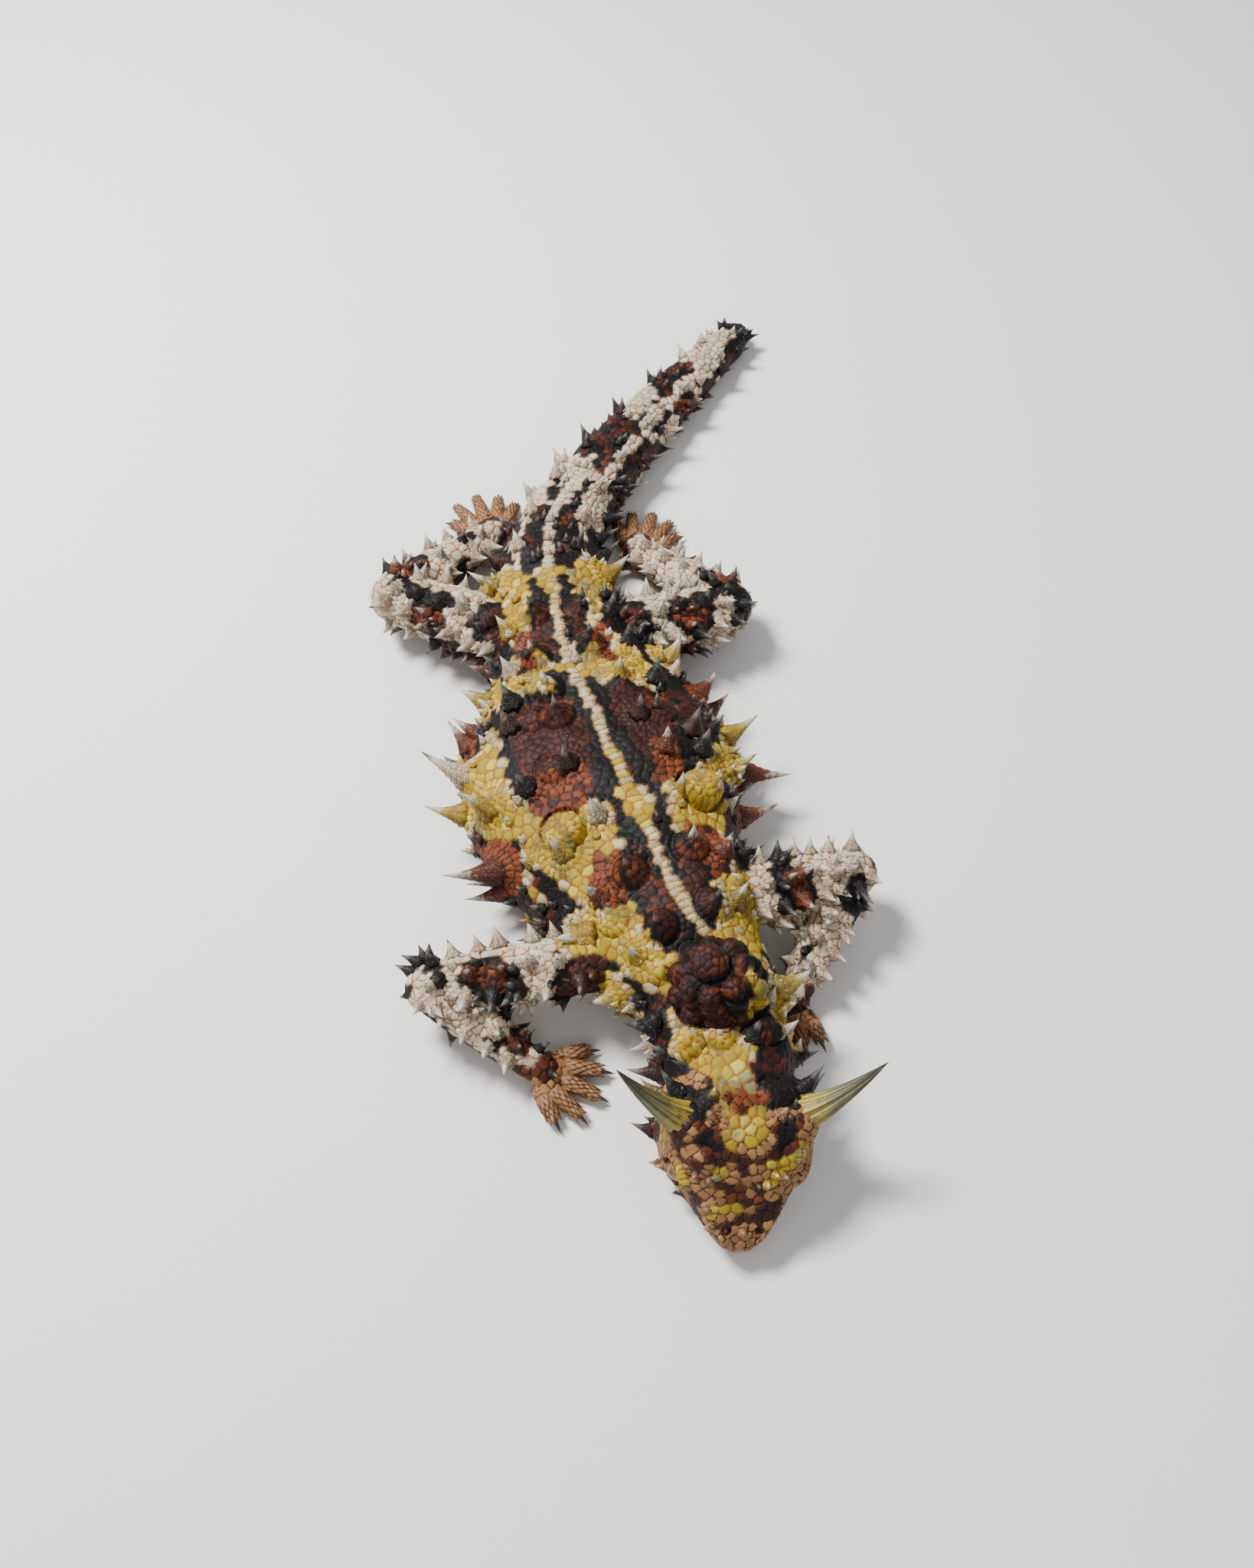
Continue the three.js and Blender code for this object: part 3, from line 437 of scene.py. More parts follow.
def flesh_lofts():
    """Every closed form that the skin covers."""
    lofts = [
        form_loft(AXIS_FORM, 0, len(AXIS) - 1, rings=150, sides=48),
        form_loft(HEAD_FORM, 0, len(HEAD) - 1, rings=60, sides=48),
    ]
    for name, segments in SEGMENTS.items():
        for segment in segments:
            lofts.append(form_loft(segment, *segment.ends(), rings=24, sides=24))
        joints, radii = LIMBS[name][:2]
        lofts.append(ball(joints[1], [radii[1] * 1.02] * 3))
        paths, ahead = digit_paths(name)
        end = np.array(joints[2])
        palm_end = end + 4.0 * ahead
        palm_end[2] = 1.35
        middle = (end + palm_end) / 2
        lofts.append(tube([end - 0.8 * ahead, end, middle, palm_end], [radii[2] * 0.9, radii[2], 2.2, 1.3]))
        turn = np.array([-ahead[1], ahead[0], 0])
        for offset in (-1.5, 0, 1.5):
            lofts.append(tube([middle + turn * offset * 0.5, palm_end + turn * offset], [1.6, 1.25]))
        for path, _ in paths:
            lofts.append(tube(path[:4], np.array(DIGIT_FLESH) * DIGIT_RADIUS))
    lofts.append(ball(KNOB_CENTRE, KNOB_SIZE, 24, 32))
    for x, y, z, wide, tall in KNOB_BOSSES:
        lofts.append(ball(KNOB_CENTRE + np.array([x, y, z]), [wide, wide, tall]))
    for side in (1, -1):
        lofts.append(ball(in_head(5.6, side * 5.4, 4.0), [3.4, 3.2, 3.0]))
        lofts.append(ball(in_head(EYE[0] - 0.3, side * (EYE[1] - 0.9), EYE[2] + 0.2), [2.5, 2.7, 2.3]))
    return lofts


def mesh_object(name, points, faces, attributes=(), bake_uv=None):
    """A smooth mesh object from corners in millimetres and lists of quads and triangles."""
    mesh = bpy.data.meshes.new(name)
    faces = [np.asarray(f) for f in faces if len(f)]
    loops = np.concatenate([f.reshape(-1) for f in faces]).astype(np.int32)
    totals = np.concatenate([np.full(len(f), f.shape[1], np.int32) for f in faces])
    starts = (np.cumsum(totals) - totals).astype(np.int32)
    mesh.vertices.add(len(points))
    mesh.vertices.foreach_set("co", (points * MM).astype(np.float32).ravel())
    mesh.loops.add(len(loops))
    mesh.loops.foreach_set("vertex_index", loops)
    mesh.polygons.add(len(totals))
    mesh.polygons.foreach_set("loop_start", starts)
    mesh.polygons.foreach_set("loop_total", totals)
    mesh.update(calc_edges=True)
    mesh.validate()
    for label, values in attributes:
        kind, field = ("FLOAT", "value") if values.ndim == 1 else ("FLOAT_VECTOR", "vector")
        layer = mesh.attributes.new(label, kind, "POINT")
        layer.data.foreach_set(field, values.astype(np.float32).ravel())
    if bake_uv is not None:
        layer = mesh.uv_layers.new(name="OFBake")
        layer.data.foreach_set("uv", bake_uv[loops].astype(np.float32).ravel())
    mesh.polygons.foreach_set("use_smooth", np.ones(len(mesh.polygons), bool))
    obj = bpy.data.objects.new(name, mesh)
    bpy.context.scene.collection.objects.link(obj)
    return obj


def remeshed(lofts, facet):
    """Corners and quads of one closed surface round overlapping lofts, made with a millimetre as the unit."""
    points, quads = joined(lofts)
    obj = mesh_object("flesh_draft", points / MM, [quads])
    remesh = obj.modifiers.new("voxels", "REMESH")
    remesh.mode = "VOXEL"
    remesh.voxel_size = facet
    evaluated = obj.evaluated_get(bpy.context.evaluated_depsgraph_get())
    mesh = evaluated.to_mesh()
    verts = np.empty(len(mesh.vertices) * 3, np.float32)
    mesh.vertices.foreach_get("co", verts)
    loops = np.empty(len(mesh.loops), np.int32)
    mesh.loops.foreach_get("vertex_index", loops)
    evaluated.to_mesh_clear()
    bpy.data.objects.remove(obj)
    return verts.reshape(-1, 3).astype(float), loops.reshape(-1, 4)


def neighbours_mean(points, edges):
    """The mean of each point's neighbours along the edges."""
    total = np.zeros_like(points)
    count = np.bincount(edges.ravel(), minlength=len(points))
    for axis in range(points.shape[1]):
        total[:, axis] = np.bincount(edges[:, 0], points[edges[:, 1], axis], len(points))
        total[:, axis] += np.bincount(edges[:, 1], points[edges[:, 0], axis], len(points))
    return total / np.maximum(count, 1)[:, None]


def vertex_normals(points, quads):
    corners = points[quads]
    face = np.cross(corners[:, 2] - corners[:, 0], corners[:, 3] - corners[:, 1])
    normal = np.zeros_like(points)
    for axis in range(3):
        for corner in range(4):
            normal[:, axis] += np.bincount(quads[:, corner], face[:, axis], len(points))
    return unit(normal)


def tree_of(points):
    tree = KDTree(len(points))
    for i, p in enumerate(points):
        tree.insert(p, i)
    tree.balance()
    return tree


def nearest_of(tree, points):
    return np.array([tree.find(p)[1] for p in points])


def within(tree, centre, reach):
    """Numbers of the points within reach of a centre, and their distances as shares of that reach."""
    found = tree.find_range(centre, reach)
    return np.array([f[1] for f in found], int), np.array([f[2] for f in found]) / reach


def bell(value, middle, width):
    return np.exp(-(((value - middle) / width) ** 2))


def rough(points, scale, seed=0.0):
    """Smooth noise from about -1 to 1 at many points."""
    shift = Vector((seed, 1.7 * seed, -seed))
    return np.array([noise.noise(Vector(p) * scale + shift) for p in points])


# Angles round a section in degrees, from the underside on the left to the underside on the right and back
ANGLE_STEP = 3
ANGLES = np.radians(np.arange(-90, 271, ANGLE_STEP))
RIDGE = 180 // ANGLE_STEP


def arc_table(stations):
    """How far round the section each angle lies from the back's ridge, left side positive."""
    points = surface(AXIS_FORM, stations[:, None], ANGLES[None])
    steps = np.linalg.norm(np.diff(points, axis=1), axis=-1)
    arc = np.concatenate([np.zeros((len(stations), 1)), np.cumsum(steps, 1)], 1)
    return arc[:, RIDGE : RIDGE + 1] - arc


def arc_from_ridge(stations, nearest, across, wide, high):
    """How far points lie from the ridge round their sections, from their places across and up in them."""
    half_power = AXIS_FULLNESS / 2
    rise = np.sign(high) * np.abs(high) ** half_power
    degrees = np.degrees(np.arctan2(rise, np.sign(across) * wide**half_power))
    degrees = np.where(degrees < -90, degrees + 360, degrees)
    column = np.clip((degrees + 90) / ANGLE_STEP, 0, len(ANGLES) - 1.001)
    low = column.astype(int)
    arcs = arc_table(stations)
    return arcs[nearest, low] + (column - low) * (arcs[nearest, low + 1] - arcs[nearest, low])


def back_angle(t, s):
    """The angle of a place on the back, from its distance from the ridge."""
    arcs = arc_table(np.array([t]))[0]
    return float(np.interp(-s, -arcs, ANGLES))


def in_sections(points, count):
    """Each point's place in the nearest of many sections across the neck, trunk and tail.

    Gives the stations, the nearest one's number, the offset from its middle, its side way and half width, the
    distance across, the height as a share, and how far out the point lies, where 1 is the surface."""
    stations = np.linspace(0, len(AXIS) - 1, count)
    centre, side, _ = AXIS_FORM.frame(stations)
    nearest = np.concatenate([
        np.argmin(((chunk[:, None, :2] - centre[None, :, :2]) ** 2).sum(-1), 1)
        for chunk in np.array_split(points, max(1, len(points) // 8000))
    ])
    offset, side = points - centre[nearest], side[nearest]
    half, rise, drop, shift = AXIS_FORM.size(stations)[nearest].T
    up = offset[:, 2]
    across = (offset * side).sum(1) - np.maximum(up / rise, 0) * shift
    high = np.where(up > 0, up / rise, up / drop)
    out = ((np.abs(across) / half) ** AXIS_FULLNESS + np.abs(high) ** AXIS_FULLNESS) ** (1 / AXIS_FULLNESS)
    return stations, nearest, offset, side, half, across, high, out


def out_of_knob(points):
    """Distance from the middle of the knob, where 1 is its surface."""
    return np.linalg.norm((points - KNOB_CENTRE) / KNOB_SIZE, axis=1)


class Place:
    """Where each point lies on the animal: which form, how far along it and how far to its side."""

    def __init__(self, points):
        self.points = points
        stations, nearest, offset, side, half, across, self.high, out = in_sections(points, 260)
        self.t, self.u, self.w = stations[nearest], across, np.abs(across) / half
        self.s = arc_from_ridge(stations, nearest, across, self.w, self.high)
        ahead = np.stack([-side[:, 1], side[:, 0], 0 * half], -1)
        past = np.abs((offset[:, :2] * ahead[:, :2]).sum(1))
        best = out + 0.25 * np.maximum(past - 0.6, 0)
        self.kind = np.full(len(points), AXIAL)
        self.limb = np.full(len(points), -1)
        self.along = np.zeros(len(points))
        self.way = unit(ahead)

        self.local = (points - HEAD_ORIGIN) @ HEAD_TURN
        aside, forward, up = self.local[:, 0], -self.local[:, 1], self.local[:, 2]
        _, wide, tall, deep = spline(HEAD, head_row(forward)).T
        level = np.where(up > 0, up / np.maximum(tall, 1), up / deep)
        powers = (np.abs(aside) / wide) ** HEAD_FULLNESS + np.abs(level) ** HEAD_FULLNESS
        measure = np.where(forward < -0.4, 9, powers ** (1 / HEAD_FULLNESS) * HEAD_CLAIM)
        self._take(measure, HEADED, best, -1, forward, -head_way(1, 0, 0))

        for index, (name, segments) in enumerate(SEGMENTS.items()):
            for lower, segment in enumerate(segments):
                reach, measure = segment.place(points)
                self._take(measure, LIMB, best, index, reach + lower, segment.way)
            paths, ahead = digit_paths(name)
            wrist = np.array(LIMBS[name][0][2])
            for path, way in paths:
                line = np.array([wrist + ahead * 0.8] + path[:4])
                for a, b in zip(line[:-1], line[1:]):
                    reach, gap = from_line(points, a, b)
                    self._take(gap / HAND_REACH, HAND, best, index, reach, way)
        measure = out_of_knob(points) * KNOB_CLAIM
        self._take(np.where(points[:, 2] > KNOB_CENTRE[2] - 1.5, measure, 9), KNOB, best, -1, measure, UP)

    def _take(self, measure, kind, best, limb, along, way):
        """Claim the points that lie deeper in this form than in those before it."""
        closer = measure < best
        best[closer] = measure[closer]
        self.kind[closer] = kind
        self.limb[closer] = limb
        self.along[closer] = np.broadcast_to(along, measure.shape)[closer]
        self.way[closer] = way


# Markings of the back and tail in the order of painting: colour, then rows of station and the patch's two
# edges, as distances from the ridge in millimetres with the animal's left side positive
BACK_MARKS = (
    (YELLOW, ((-0.2, -3.5, 2), (0.5, -4, 2.2), (1, -6, 2.5), (1.2, -7.5, 2), (1.5, -6.5, 1.5),
              (1.7, -6.5, 0), (2, -7, -3.5), (2.5, -6.5, -3.8), (3, -8.4, -4))),
    (YELLOW, ((1.15, 7, 12), (1.3, 6, 14), (2.2, 6, 14), (2.3, 5, 10), (2.6, 4.5, 8), (3.2, 4.5, 8.4))),
    (CREAM, ((2, -16, -11), (2.9, -16, -11))),
    (YELLOW, ((2.9, -8.5, 8), (3.3, -8.5, 16), (3.9, -12, 18), (4.4, -12, 18), (4.6, -11, 9),
              (5.2, -14, 10), (5.5, -14, 17), (5.9, -20, 17), (6.2, -20, 17), (6.4, -14, 4))),
    (YELLOW, ((6.1, -20, -13), (6.6, -21, -13), (7.2, -22, -14), (8.1, -22, -14))),
    (YELLOW, ((6, 11, 17), (6.6, 11.5, 17), (7.7, 11.5, 17))),
    (YELLOW, ((8.5, -12, 10), (8.9, -12, 11), (9.4, -10.5, 10.5), (9.8, -9, 9), (10.2, -7, 6.2),
              (10.8, -8, 6.2), (11.2, -8, 8), (11.6, -10, 8.5), (12, -13, 9.5), (12.35, -14, 12),
              (12.55, -14, 12))),
    (BLACK, ((4.45, 9.5, 20), (4.7, 8.5, 20), (5.2, 12, 20))),
    (BLACK, ((5.6, 11.5, 20), (5.75, 10.5, 20), (6, 12.5, 20))),
    (RED, ((4.4, -8, -6), (4.6, -10, -5.5), (5.1, -10, -4.8), (5.35, -7, -4.6))),
    (RED, ((4.2, 4.2, 6), (4.4, 4.2, 8.2), (4.9, 3.8, 8.8), (5.2, 3.4, 8))),
    (BLACK, ((3.35, -4.2, 3), (3.6, -5, 3.6), (4, -5.8, 5), (4.3, -5.4, 4.5), (4.6, -6, 4.8), (5, -5, 3.4),
             (5.3, -4.2, 2.9), (5.5, -3.8, 3.2), (5.8, -4, 3.8), (6.05, -3.4, 3.2))),
    (BROWN, ((3.55, -3.8, -1.7), (4, -4.7, -1.4), (4.4, -4.3, -1.2), (4.7, -5, -1.2), (5, -4, -1.5),
             (5.2, -3, -2))),
    (BROWN, ((3.55, 1.8, 2.9), (4, 1.5, 4.1), (4.5, 1.3, 4), (4.8, 1.3, 3.6), (5.1, 1.6, 2.4))),
    (BROWN, ((6.15, -6, -1.8), (6.3, -12, -1.6), (6.6, -13.4, -1.2), (7, -14, -0.8), (7.8, -13.6, -0.8),
             (8.2, -12, -0.8), (8.45, -10.5, -0.8), (8.65, -8, -0.8))),
    (BROWN, ((6.15, 1, 4), (6.35, 1, 8), (6.8, 0.8, 11), (7.6, 0.4, 11.5), (8.2, 0.4, 12), (8.5, 0.4, 10),
             (8.7, 0.4, 7))),
    (RED, ((6.1, -12, -4.5), (6.45, -13, -4.5), (6.9, -11, -4.8))),
    (RED, ((6.12, 4, 7.4), (6.6, 4.2, 7.6), (7.25, 4.8, 7.2))),
    (BLACK, ((6.25, 8, 9), (6.8, 8, 11), (7.6, 9.2, 11.6), (7.9, 10.6, 12))),
    (BLACK, ((6.7, -14.6, -12.9), (7.8, -14.2, -12.6), (8.2, -12.6, -11), (8.5, -11, -9.5), (8.7, -9, -7))),
    (BLACK, ((6.05, -4.5, -1.8), (6.5, -4.2, -1.3), (7, -3, -0.8), (7.6, -2.4, -0.8), (8.4, -2.6, -0.8),
             (8.8, -4.2, -0.8), (9.25, -4, -0.8))),
    (BLACK, ((6, 1.2, 3), (6.5, 1, 3.6), (7, 0.3, 2.6), (8, 0.3, 2.2), (8.6, 0.3, 2.6), (8.95, 0.5, 2.2))),
    (RED, ((9.45, -6.6, -4.1), (10, -6.8, -4.1), (10.6, -6.2, -4.3))),
    (RED, ((9.3, 4.4, 6.9), (10.25, 4.4, 6.7))),
    (BLACK, ((9.55, -3.4, -1), (10, -4.2, -0.4), (10.5, -4, -0.4), (11, -3.9, -0.4), (11.3, -2.9, -1.2),
             (11.6, -2.6, -1.4), (12, -3.2, -2), (12.3, -3.8, -2.8))),
    (BLACK, ((9.55, 1.2, 4.2), (10, 1, 4.4), (10.5, 0.6, 4.4), (11, 0.6, 4), (11.3, 0.8, 2.9),
             (11.95, 1.2, 2.6))),
    (BROWN, ((9.75, -3.2, -1.3), (10.4, -3.3, -1.2), (10.95, -3, -1.2))),
    (BROWN, ((9.75, 1.8, 3.6), (10.4, 1.5, 3.6), (10.95, 1.4, 3.2))),
    (CREAM, ((12.2, -5.6, 6), (12.7, -5.8, 6), (13.2, -6, 5.5), (13.7, -5.2, 5.7), (14.2, -8, 6.2),
             (14.4, -10, 6.4), (15, -10, 6.5), (15.15, -10, 4), (15.5, -10, -3.2))),
    (BLACK, ((12.15, -3.7, -0.9), (12.5, -4.2, -0.7), (13.4, -4, -0.6), (14.05, -3, -1.2))),
    (BLACK, ((12.15, 1.2, 3.4), (12.7, 0.8, 4.3), (13.5, 0.8, 4.1), (14.1, 0.9, 3), (15, 1, 2.4))),
    (BLACK, ((14.15, -1.8, -0.9), (14.5, -2.8, -1.7), (15, -4.6, -3.6))),
    (BROWN, ((12.5, -3.3, -1.4), (13.05, -3.3, -1.4))),
    (BROWN, ((13.5, -3, -1.4), (14, -2.7, -1.5))),
    (BROWN, ((12.55, 1.5, 3.4), (13.1, 1.5, 3.4))),
    (BROWN, ((13.55, 1.5, 3.2), (14, 1.4, 2.8))),
    (CREAM, ((15, 2, 4), (15.5, 2.8, 4.4), (16, 1.6, 3.8), (16.5, 2, 3.6), (17, 1, 3.4), (18, 1, 3.2),
             (18.5, 1.5, 3.8), (19, 0.5, 2.5))),
    (CREAM, ((16.75, -2, 1), (16.95, -4, 1), (17.2, -7, 1), (17.4, -8, 0), (17.6, -8, -2.5),
             (17.9, -8, -5))),
    (CREAM, ((18.4, -2, 2), (18.6, -6, 2), (19.4, -6, 2), (19.8, -3, 1))),
    (YELLOW, ((5.3, -0.9, 0.7), (5.5, -1.6, 1), (5.8, -2.8, 2.1), (6, -2.3, 1.3), (6.3, -1.5, 1),
              (6.6, -1, 0.7), (7.2, -0.8, 0.3))),
    (YELLOW, ((9.3, -1.2, 0.6), (9.7, -1, 0.6))),
    (YELLOW, ((11.2, -1, 0.8), (11.7, -1.8, 1), (12.1, -2.4, 0.9))),
    (CREAM, ((3.4, 0.5, 1.6), (3.65, 0.4, 1.5), (4.2, -0.42, 0.42), (5, -0.6, 0.2), (5.4, -0.7, 0.4))),
    (CREAM, ((7, -0.7, 0.1), (9.3, -0.6, 0.2))),
    (CREAM, ((9.6, -0.4, 0.4), (11.3, -0.45, 0.5))),
    (CREAM, ((12, -0.5, 0.5), (13.6, -0.6, 0.5), (14, -1, 0.7), (14.8, -1.6, 0.6), (15.6, -0.9, -0.1))),
)
# Places of the line of beads along the back: station and distance from the ridge
STRIPE = (
    (3.5, 1.0), (4.2, 0.0), (5.0, -0.2), (5.4, -0.2), (7.0, -0.3), (9.4, -0.2), (10.0, 0.05), (15.4, -0.4),
)
STRIPE_START, STRIPE_END = 3.45, 15.4
# Room for each bead, and the step between beads times the piece of a station that it is measured over
STRIPE_GAP = 0.92
STRIPE_STEP = 0.051
STRIPE_PIECE = 0.05
# Markings of the limbs: two ends of a rounded patch, its radius, width of its black margin and its colour
LIMB_MARKS = (
    ((-17.4, -27.4, 11.4), (-14.4, -30.0, 10.6), 1.7, 1.3, RED),
    ((-3.2, -25.6, 11.0), (-7.0, -29.6, 9.6), 2.3, 1.0, BROWN),
    ((-8.0, -32.0, 7.6), (-13.0, -33.6, 6.4), 1.5, 0.5, BROWN),
    ((-20.0, -31.2, 5.6), (-16.0, -33.6, 5.4), 0.9, 0.4, BROWN),
    ((-24.7, -24.7, 9.0), (-27.4, -28.0, 7.6), 0.7, 0.5, BLACK),
    ((21.4, -14.8, 12.2), (22.0, -16.4, 11.4), 1.3, 1.3, RED),
    ((28.9, -15.4, 9.4), (29.6, -13.0, 9.8), 0.5, 0.4, BLACK),
    ((21.8, -23.7, 6.6), (22.8, -21.8, 7.2), 0.5, 0.4, BLACK),
    ((31.8, -8.4, 8.6), (32.4, -11.0, 8.0), 0.6, 0.4, BROWN),
    ((-34.2, 36.0, 10.6), (-25.0, 31.4, 11.4), 0.5, 0.5, BLACK),
    ((-19.4, 27.3, 11.6), (-18.0, 28.6, 11.4), 2.1, 1.0, BROWN),
    ((-29.4, 31.0, 9.0), (-27.6, 30.0, 9.0), 1.6, 0.8, RED),
    ((-27.0, 28.2, 6.6), (-19.0, 24.4, 6.0), 1.5, 0.5, BROWN),
    ((-31.6, 41.2, 9.4), (-33.0, 39.0, 9.6), 1.5, 0.6, RED),
    ((-26.4, 47.4, 8.0), (-22.4, 50.0, 6.4), 0.5, 0.4, BLACK),
    ((-25.4, 42.6, 6.6), (-21.0, 46.4, 5.6), 0.25, 0.2, BLACK),
    ((-1.4, 28.6, 12.0), (0.4, 29.6, 11.8), 2.1, 1.0, BROWN),
    ((8.0, 30.4, 10.2), (10.4, 30.6, 9.6), 1.7, 0.9, RED),
    ((9.8, 32.6, 11.0), (16.0, 36.0, 9.8), 0.7, 0.5, BLACK),
    ((3.0, 25.6, 6.0), (9.0, 27.4, 5.6), 1.5, 0.5, BROWN),
    ((12.0, 39.2, 9.4), (13.6, 37.6, 9.4), 1.3, 0.5, RED),
    ((4.4, 44.2, 8.2), (-0.4, 47.0, 7.4), 0.5, 0.4, BLACK),
)


def put_marks(table, mark, along, side):
    """Paint each patch of a table whose rows give a station and the two edges there."""
    for colour, rows in table:
        place, low, high = np.array(rows, float).T
        inside_patch = (along > place[0]) & (along < place[-1])
        inside_patch &= (side > np.interp(along, place, low)) & (side < np.interp(along, place, high))
        mark[inside_patch] = colour


def axis_marks(place, n1, n2):
    """Markings of the neck, trunk and tail: a beaded stripe, dark saddles, yellow bands, a barred tail."""
    mark = np.where(n1 > 0.1, BLACK, BROWN)
    flank = (np.abs(place.s) > 16) & (place.t > 3) & (place.t < TAIL_START)
    mark[flank & (n2 > 0.28)] = RED
    mark[flank & (n2 < -0.22)] = YELLOW
    mark[(place.t > TAIL_START) & (place.w > 0.86) & (n2 > 0.3)] = CREAM
    belly = place.high < -0.3
    mark[belly & (place.t < TAIL_START)] = TAN
    mark[belly & (n1 > 0.26)] = BROWN
    put_marks(BACK_MARKS, mark, place.t + 0.07 * n2, place.s + 0.45 * n1)
    mark[place.t > TAIL_TIP] = BLACK
    return mark


# Markings of the crown and snout: colour, then rows of forward distance and the patch's two edges, with the
# left side positive
HEAD_MARKS = (
    (BLACK, ((-2, 1.5, 9), (1, 1.5, 9), (4, 2, 7), (4.6, 3, 6))),
    (BLACK, ((1.6, -7.5, -3.6), (4.2, -7.6, -3.6), (5.6, -6.4, -4))),
    (YELLOW, ((-2, -4, 1.6), (3, -3.8, 1.6), (4.2, -3.2, 2.2), (7.4, -2.6, 2.4), (8.6, -1.2, 1.4))),
    (RED, ((2.2, -1.6, 2.4), (3.4, -2.2, 2.6), (4.6, -1.2, 1.8))),
    (BROWN, ((6, -6.4, -3.2), (8.2, -6, -2.8), (9.4, -5, -1.4), (10.2, -3.4, -0.6))),
    (BROWN, ((5.6, 2.8, 6.4), (8.2, 2.8, 6), (9.4, 1.4, 5.2), (10.2, 0.6, 3.4))),
    (BLACK, ((6.6, -5.6, -4), (8, -5.4, -3.6), (9.2, -4.4, -2.4))),
    (BLACK, ((6.4, 3.8, 5.6), (8, 3.6, 5.4), (9.2, 2.4, 4.4))),
    (BROWN, ((12.2, -4, 4), (13, -3.8, 3.8))),
    (RED, ((13.2, -2.8, -0.8), (14, -2.8, -0.8))),
    (RED, ((13.2, 0.8, 2.8), (14, 0.8, 2.8))),
    (BROWN, ((15.6, -2.4, 2.4), (16.3, -2.2, 2.2))),
)
# Bars of the cheeks: forward distance at the eye's level, half width and colour
CHEEK_BARS = ((EYE[0], 1.25, BLACK), (4.4, 1.0, BROWN), (13.2, 0.6, BROWN), (0.6, 1.0, BLACK))


def head_marks(place, n1, n2):
    """Markings of the head: a patchy crown and snout, black behind the horns, and barred tan cheeks."""
    side, forward, up = place.local[:, 0] + 0.5 * n1, -place.local[:, 1] + 0.4 * n2, place.local[:, 2]
    crown = np.where(n1 > 0.26, YELLOW, np.where((n1 < -0.3) & (n2 < 0.15), BROWN, TAN))
    put_marks(HEAD_MARKS, crown, forward, side)
    mark = np.where(up > 1.2 - 0.28 * forward, crown, TAN)
    aside = np.abs(side)
    cheek = (up < 1.2) & (aside > 3)
    mark[cheek & (n1 > 0.3)] = YELLOW
    mark[cheek & (n1 < -0.36)] = BROWN
    for bar, width, colour in CHEEK_BARS:
        mark[cheek & (np.abs(forward - bar + 0.45 * (up - EYE[2])) < width) & (up > -5.8)] = colour
    mark[(aside > 3.4) & (up < -2.4) & (up > -5.2) & (np.sin(1.9 * forward) > 0.55)] = CREAM
    mark[(up < -5.6) & (n2 > 0.15)] = BROWN
    return mark


def limb_marks(place, n1, n2):
    """Markings of the limbs: cream, with black-edged rusty patches and black bars."""
    points = place.points
    mark = np.full(len(points), CREAM)
    mark[n2 > 0.42] = BLACK
    mark[points[:, 2] < 4.2 + 1.4 * n1] = BROWN
    mark[points[:, 2] < 2.6] = TAN
    for start, end, radius, margin, colour in LIMB_MARKS:
        gap = from_line(points, np.array(start), np.array(end))[1] + 0.5 * n1
        mark[gap < radius + margin] = BLACK
        mark[gap < radius] = colour
    return mark


def marks_at(place):
    """The marking at each point."""
    n1 = rough(place.points, 0.33)
    n2 = rough(place.points, 0.21, 9.3)
    mark = np.where(place.kind == HEADED, head_marks(place, n1, n2), axis_marks(place, n1, n2))
    mark = np.where(place.kind == LIMB, limb_marks(place, n1, n2), mark)
    mark = np.where(place.kind == HAND, TAN, mark)
    mark[(mark == RED) & (rough(place.points, 1.3, 2.2) > np.where(place.kind == LIMB, -0.05, 0.2))] = BROWN
    from_knob = place.points - KNOB_CENTRE
    knob = np.where((from_knob[:, 0] > 3.3) & (n1 > -0.3), YELLOW, BROWN)
    knob = np.where((n2 > 0.3) | (from_knob[:, 2] < 0.6), BLACK, knob)
    from_boss = np.linalg.norm(from_knob - BOSS_TOP, axis=1)
    knob = np.where(from_boss < BOSS_RING, np.where(from_boss < BOSS_RADIUS, BROWN, BLACK), knob)
    return np.where(place.kind == KNOB, knob, mark)


# The back's cream as shares of cream and yellow
WARM_CREAM = (0.62, 1.0, 0.0)
# Room for each scale in millimetres by its marking, and on the hands
SPACING = {CREAM: 1.15, YELLOW: 1.28, RED: 1.0, BROWN: 0.96, BLACK: 0.94, TAN: 1.0}
HAND_SPACING = 0.75
# How far scales stand out in millimetres by their marking, and on the limbs, the knob and the stripe
RELIEF = {CREAM: 0.16, YELLOW: 0.19, RED: 0.14, BROWN: 0.12, BLACK: 0.1, TAN: 0.12}
LIMB_RELIEF, KNOB_RELIEF, STRIPE_RELIEF = 0.17, 0.2, 0.24


def by_key(table, keys):
    return np.array([table[key] for key in range(len(table))])[keys]


def scale_spacing(place, mark):
    """Room for each scale: more in the limbs' cream, less on the knob, the head and the tail."""
    spacing = np.where(place.kind == HAND, HAND_SPACING, by_key(SPACING, mark))
    for where, share in (
        ((place.kind == LIMB) & (mark == CREAM), 1.2),
        (place.kind == KNOB, 0.8),
        (place.kind == HEADED, 0.86),
        ((place.kind == AXIAL) & (place.t > TAIL_START), 0.9),
    ):
        spacing = np.where(where, share * spacing, spacing)
    return spacing


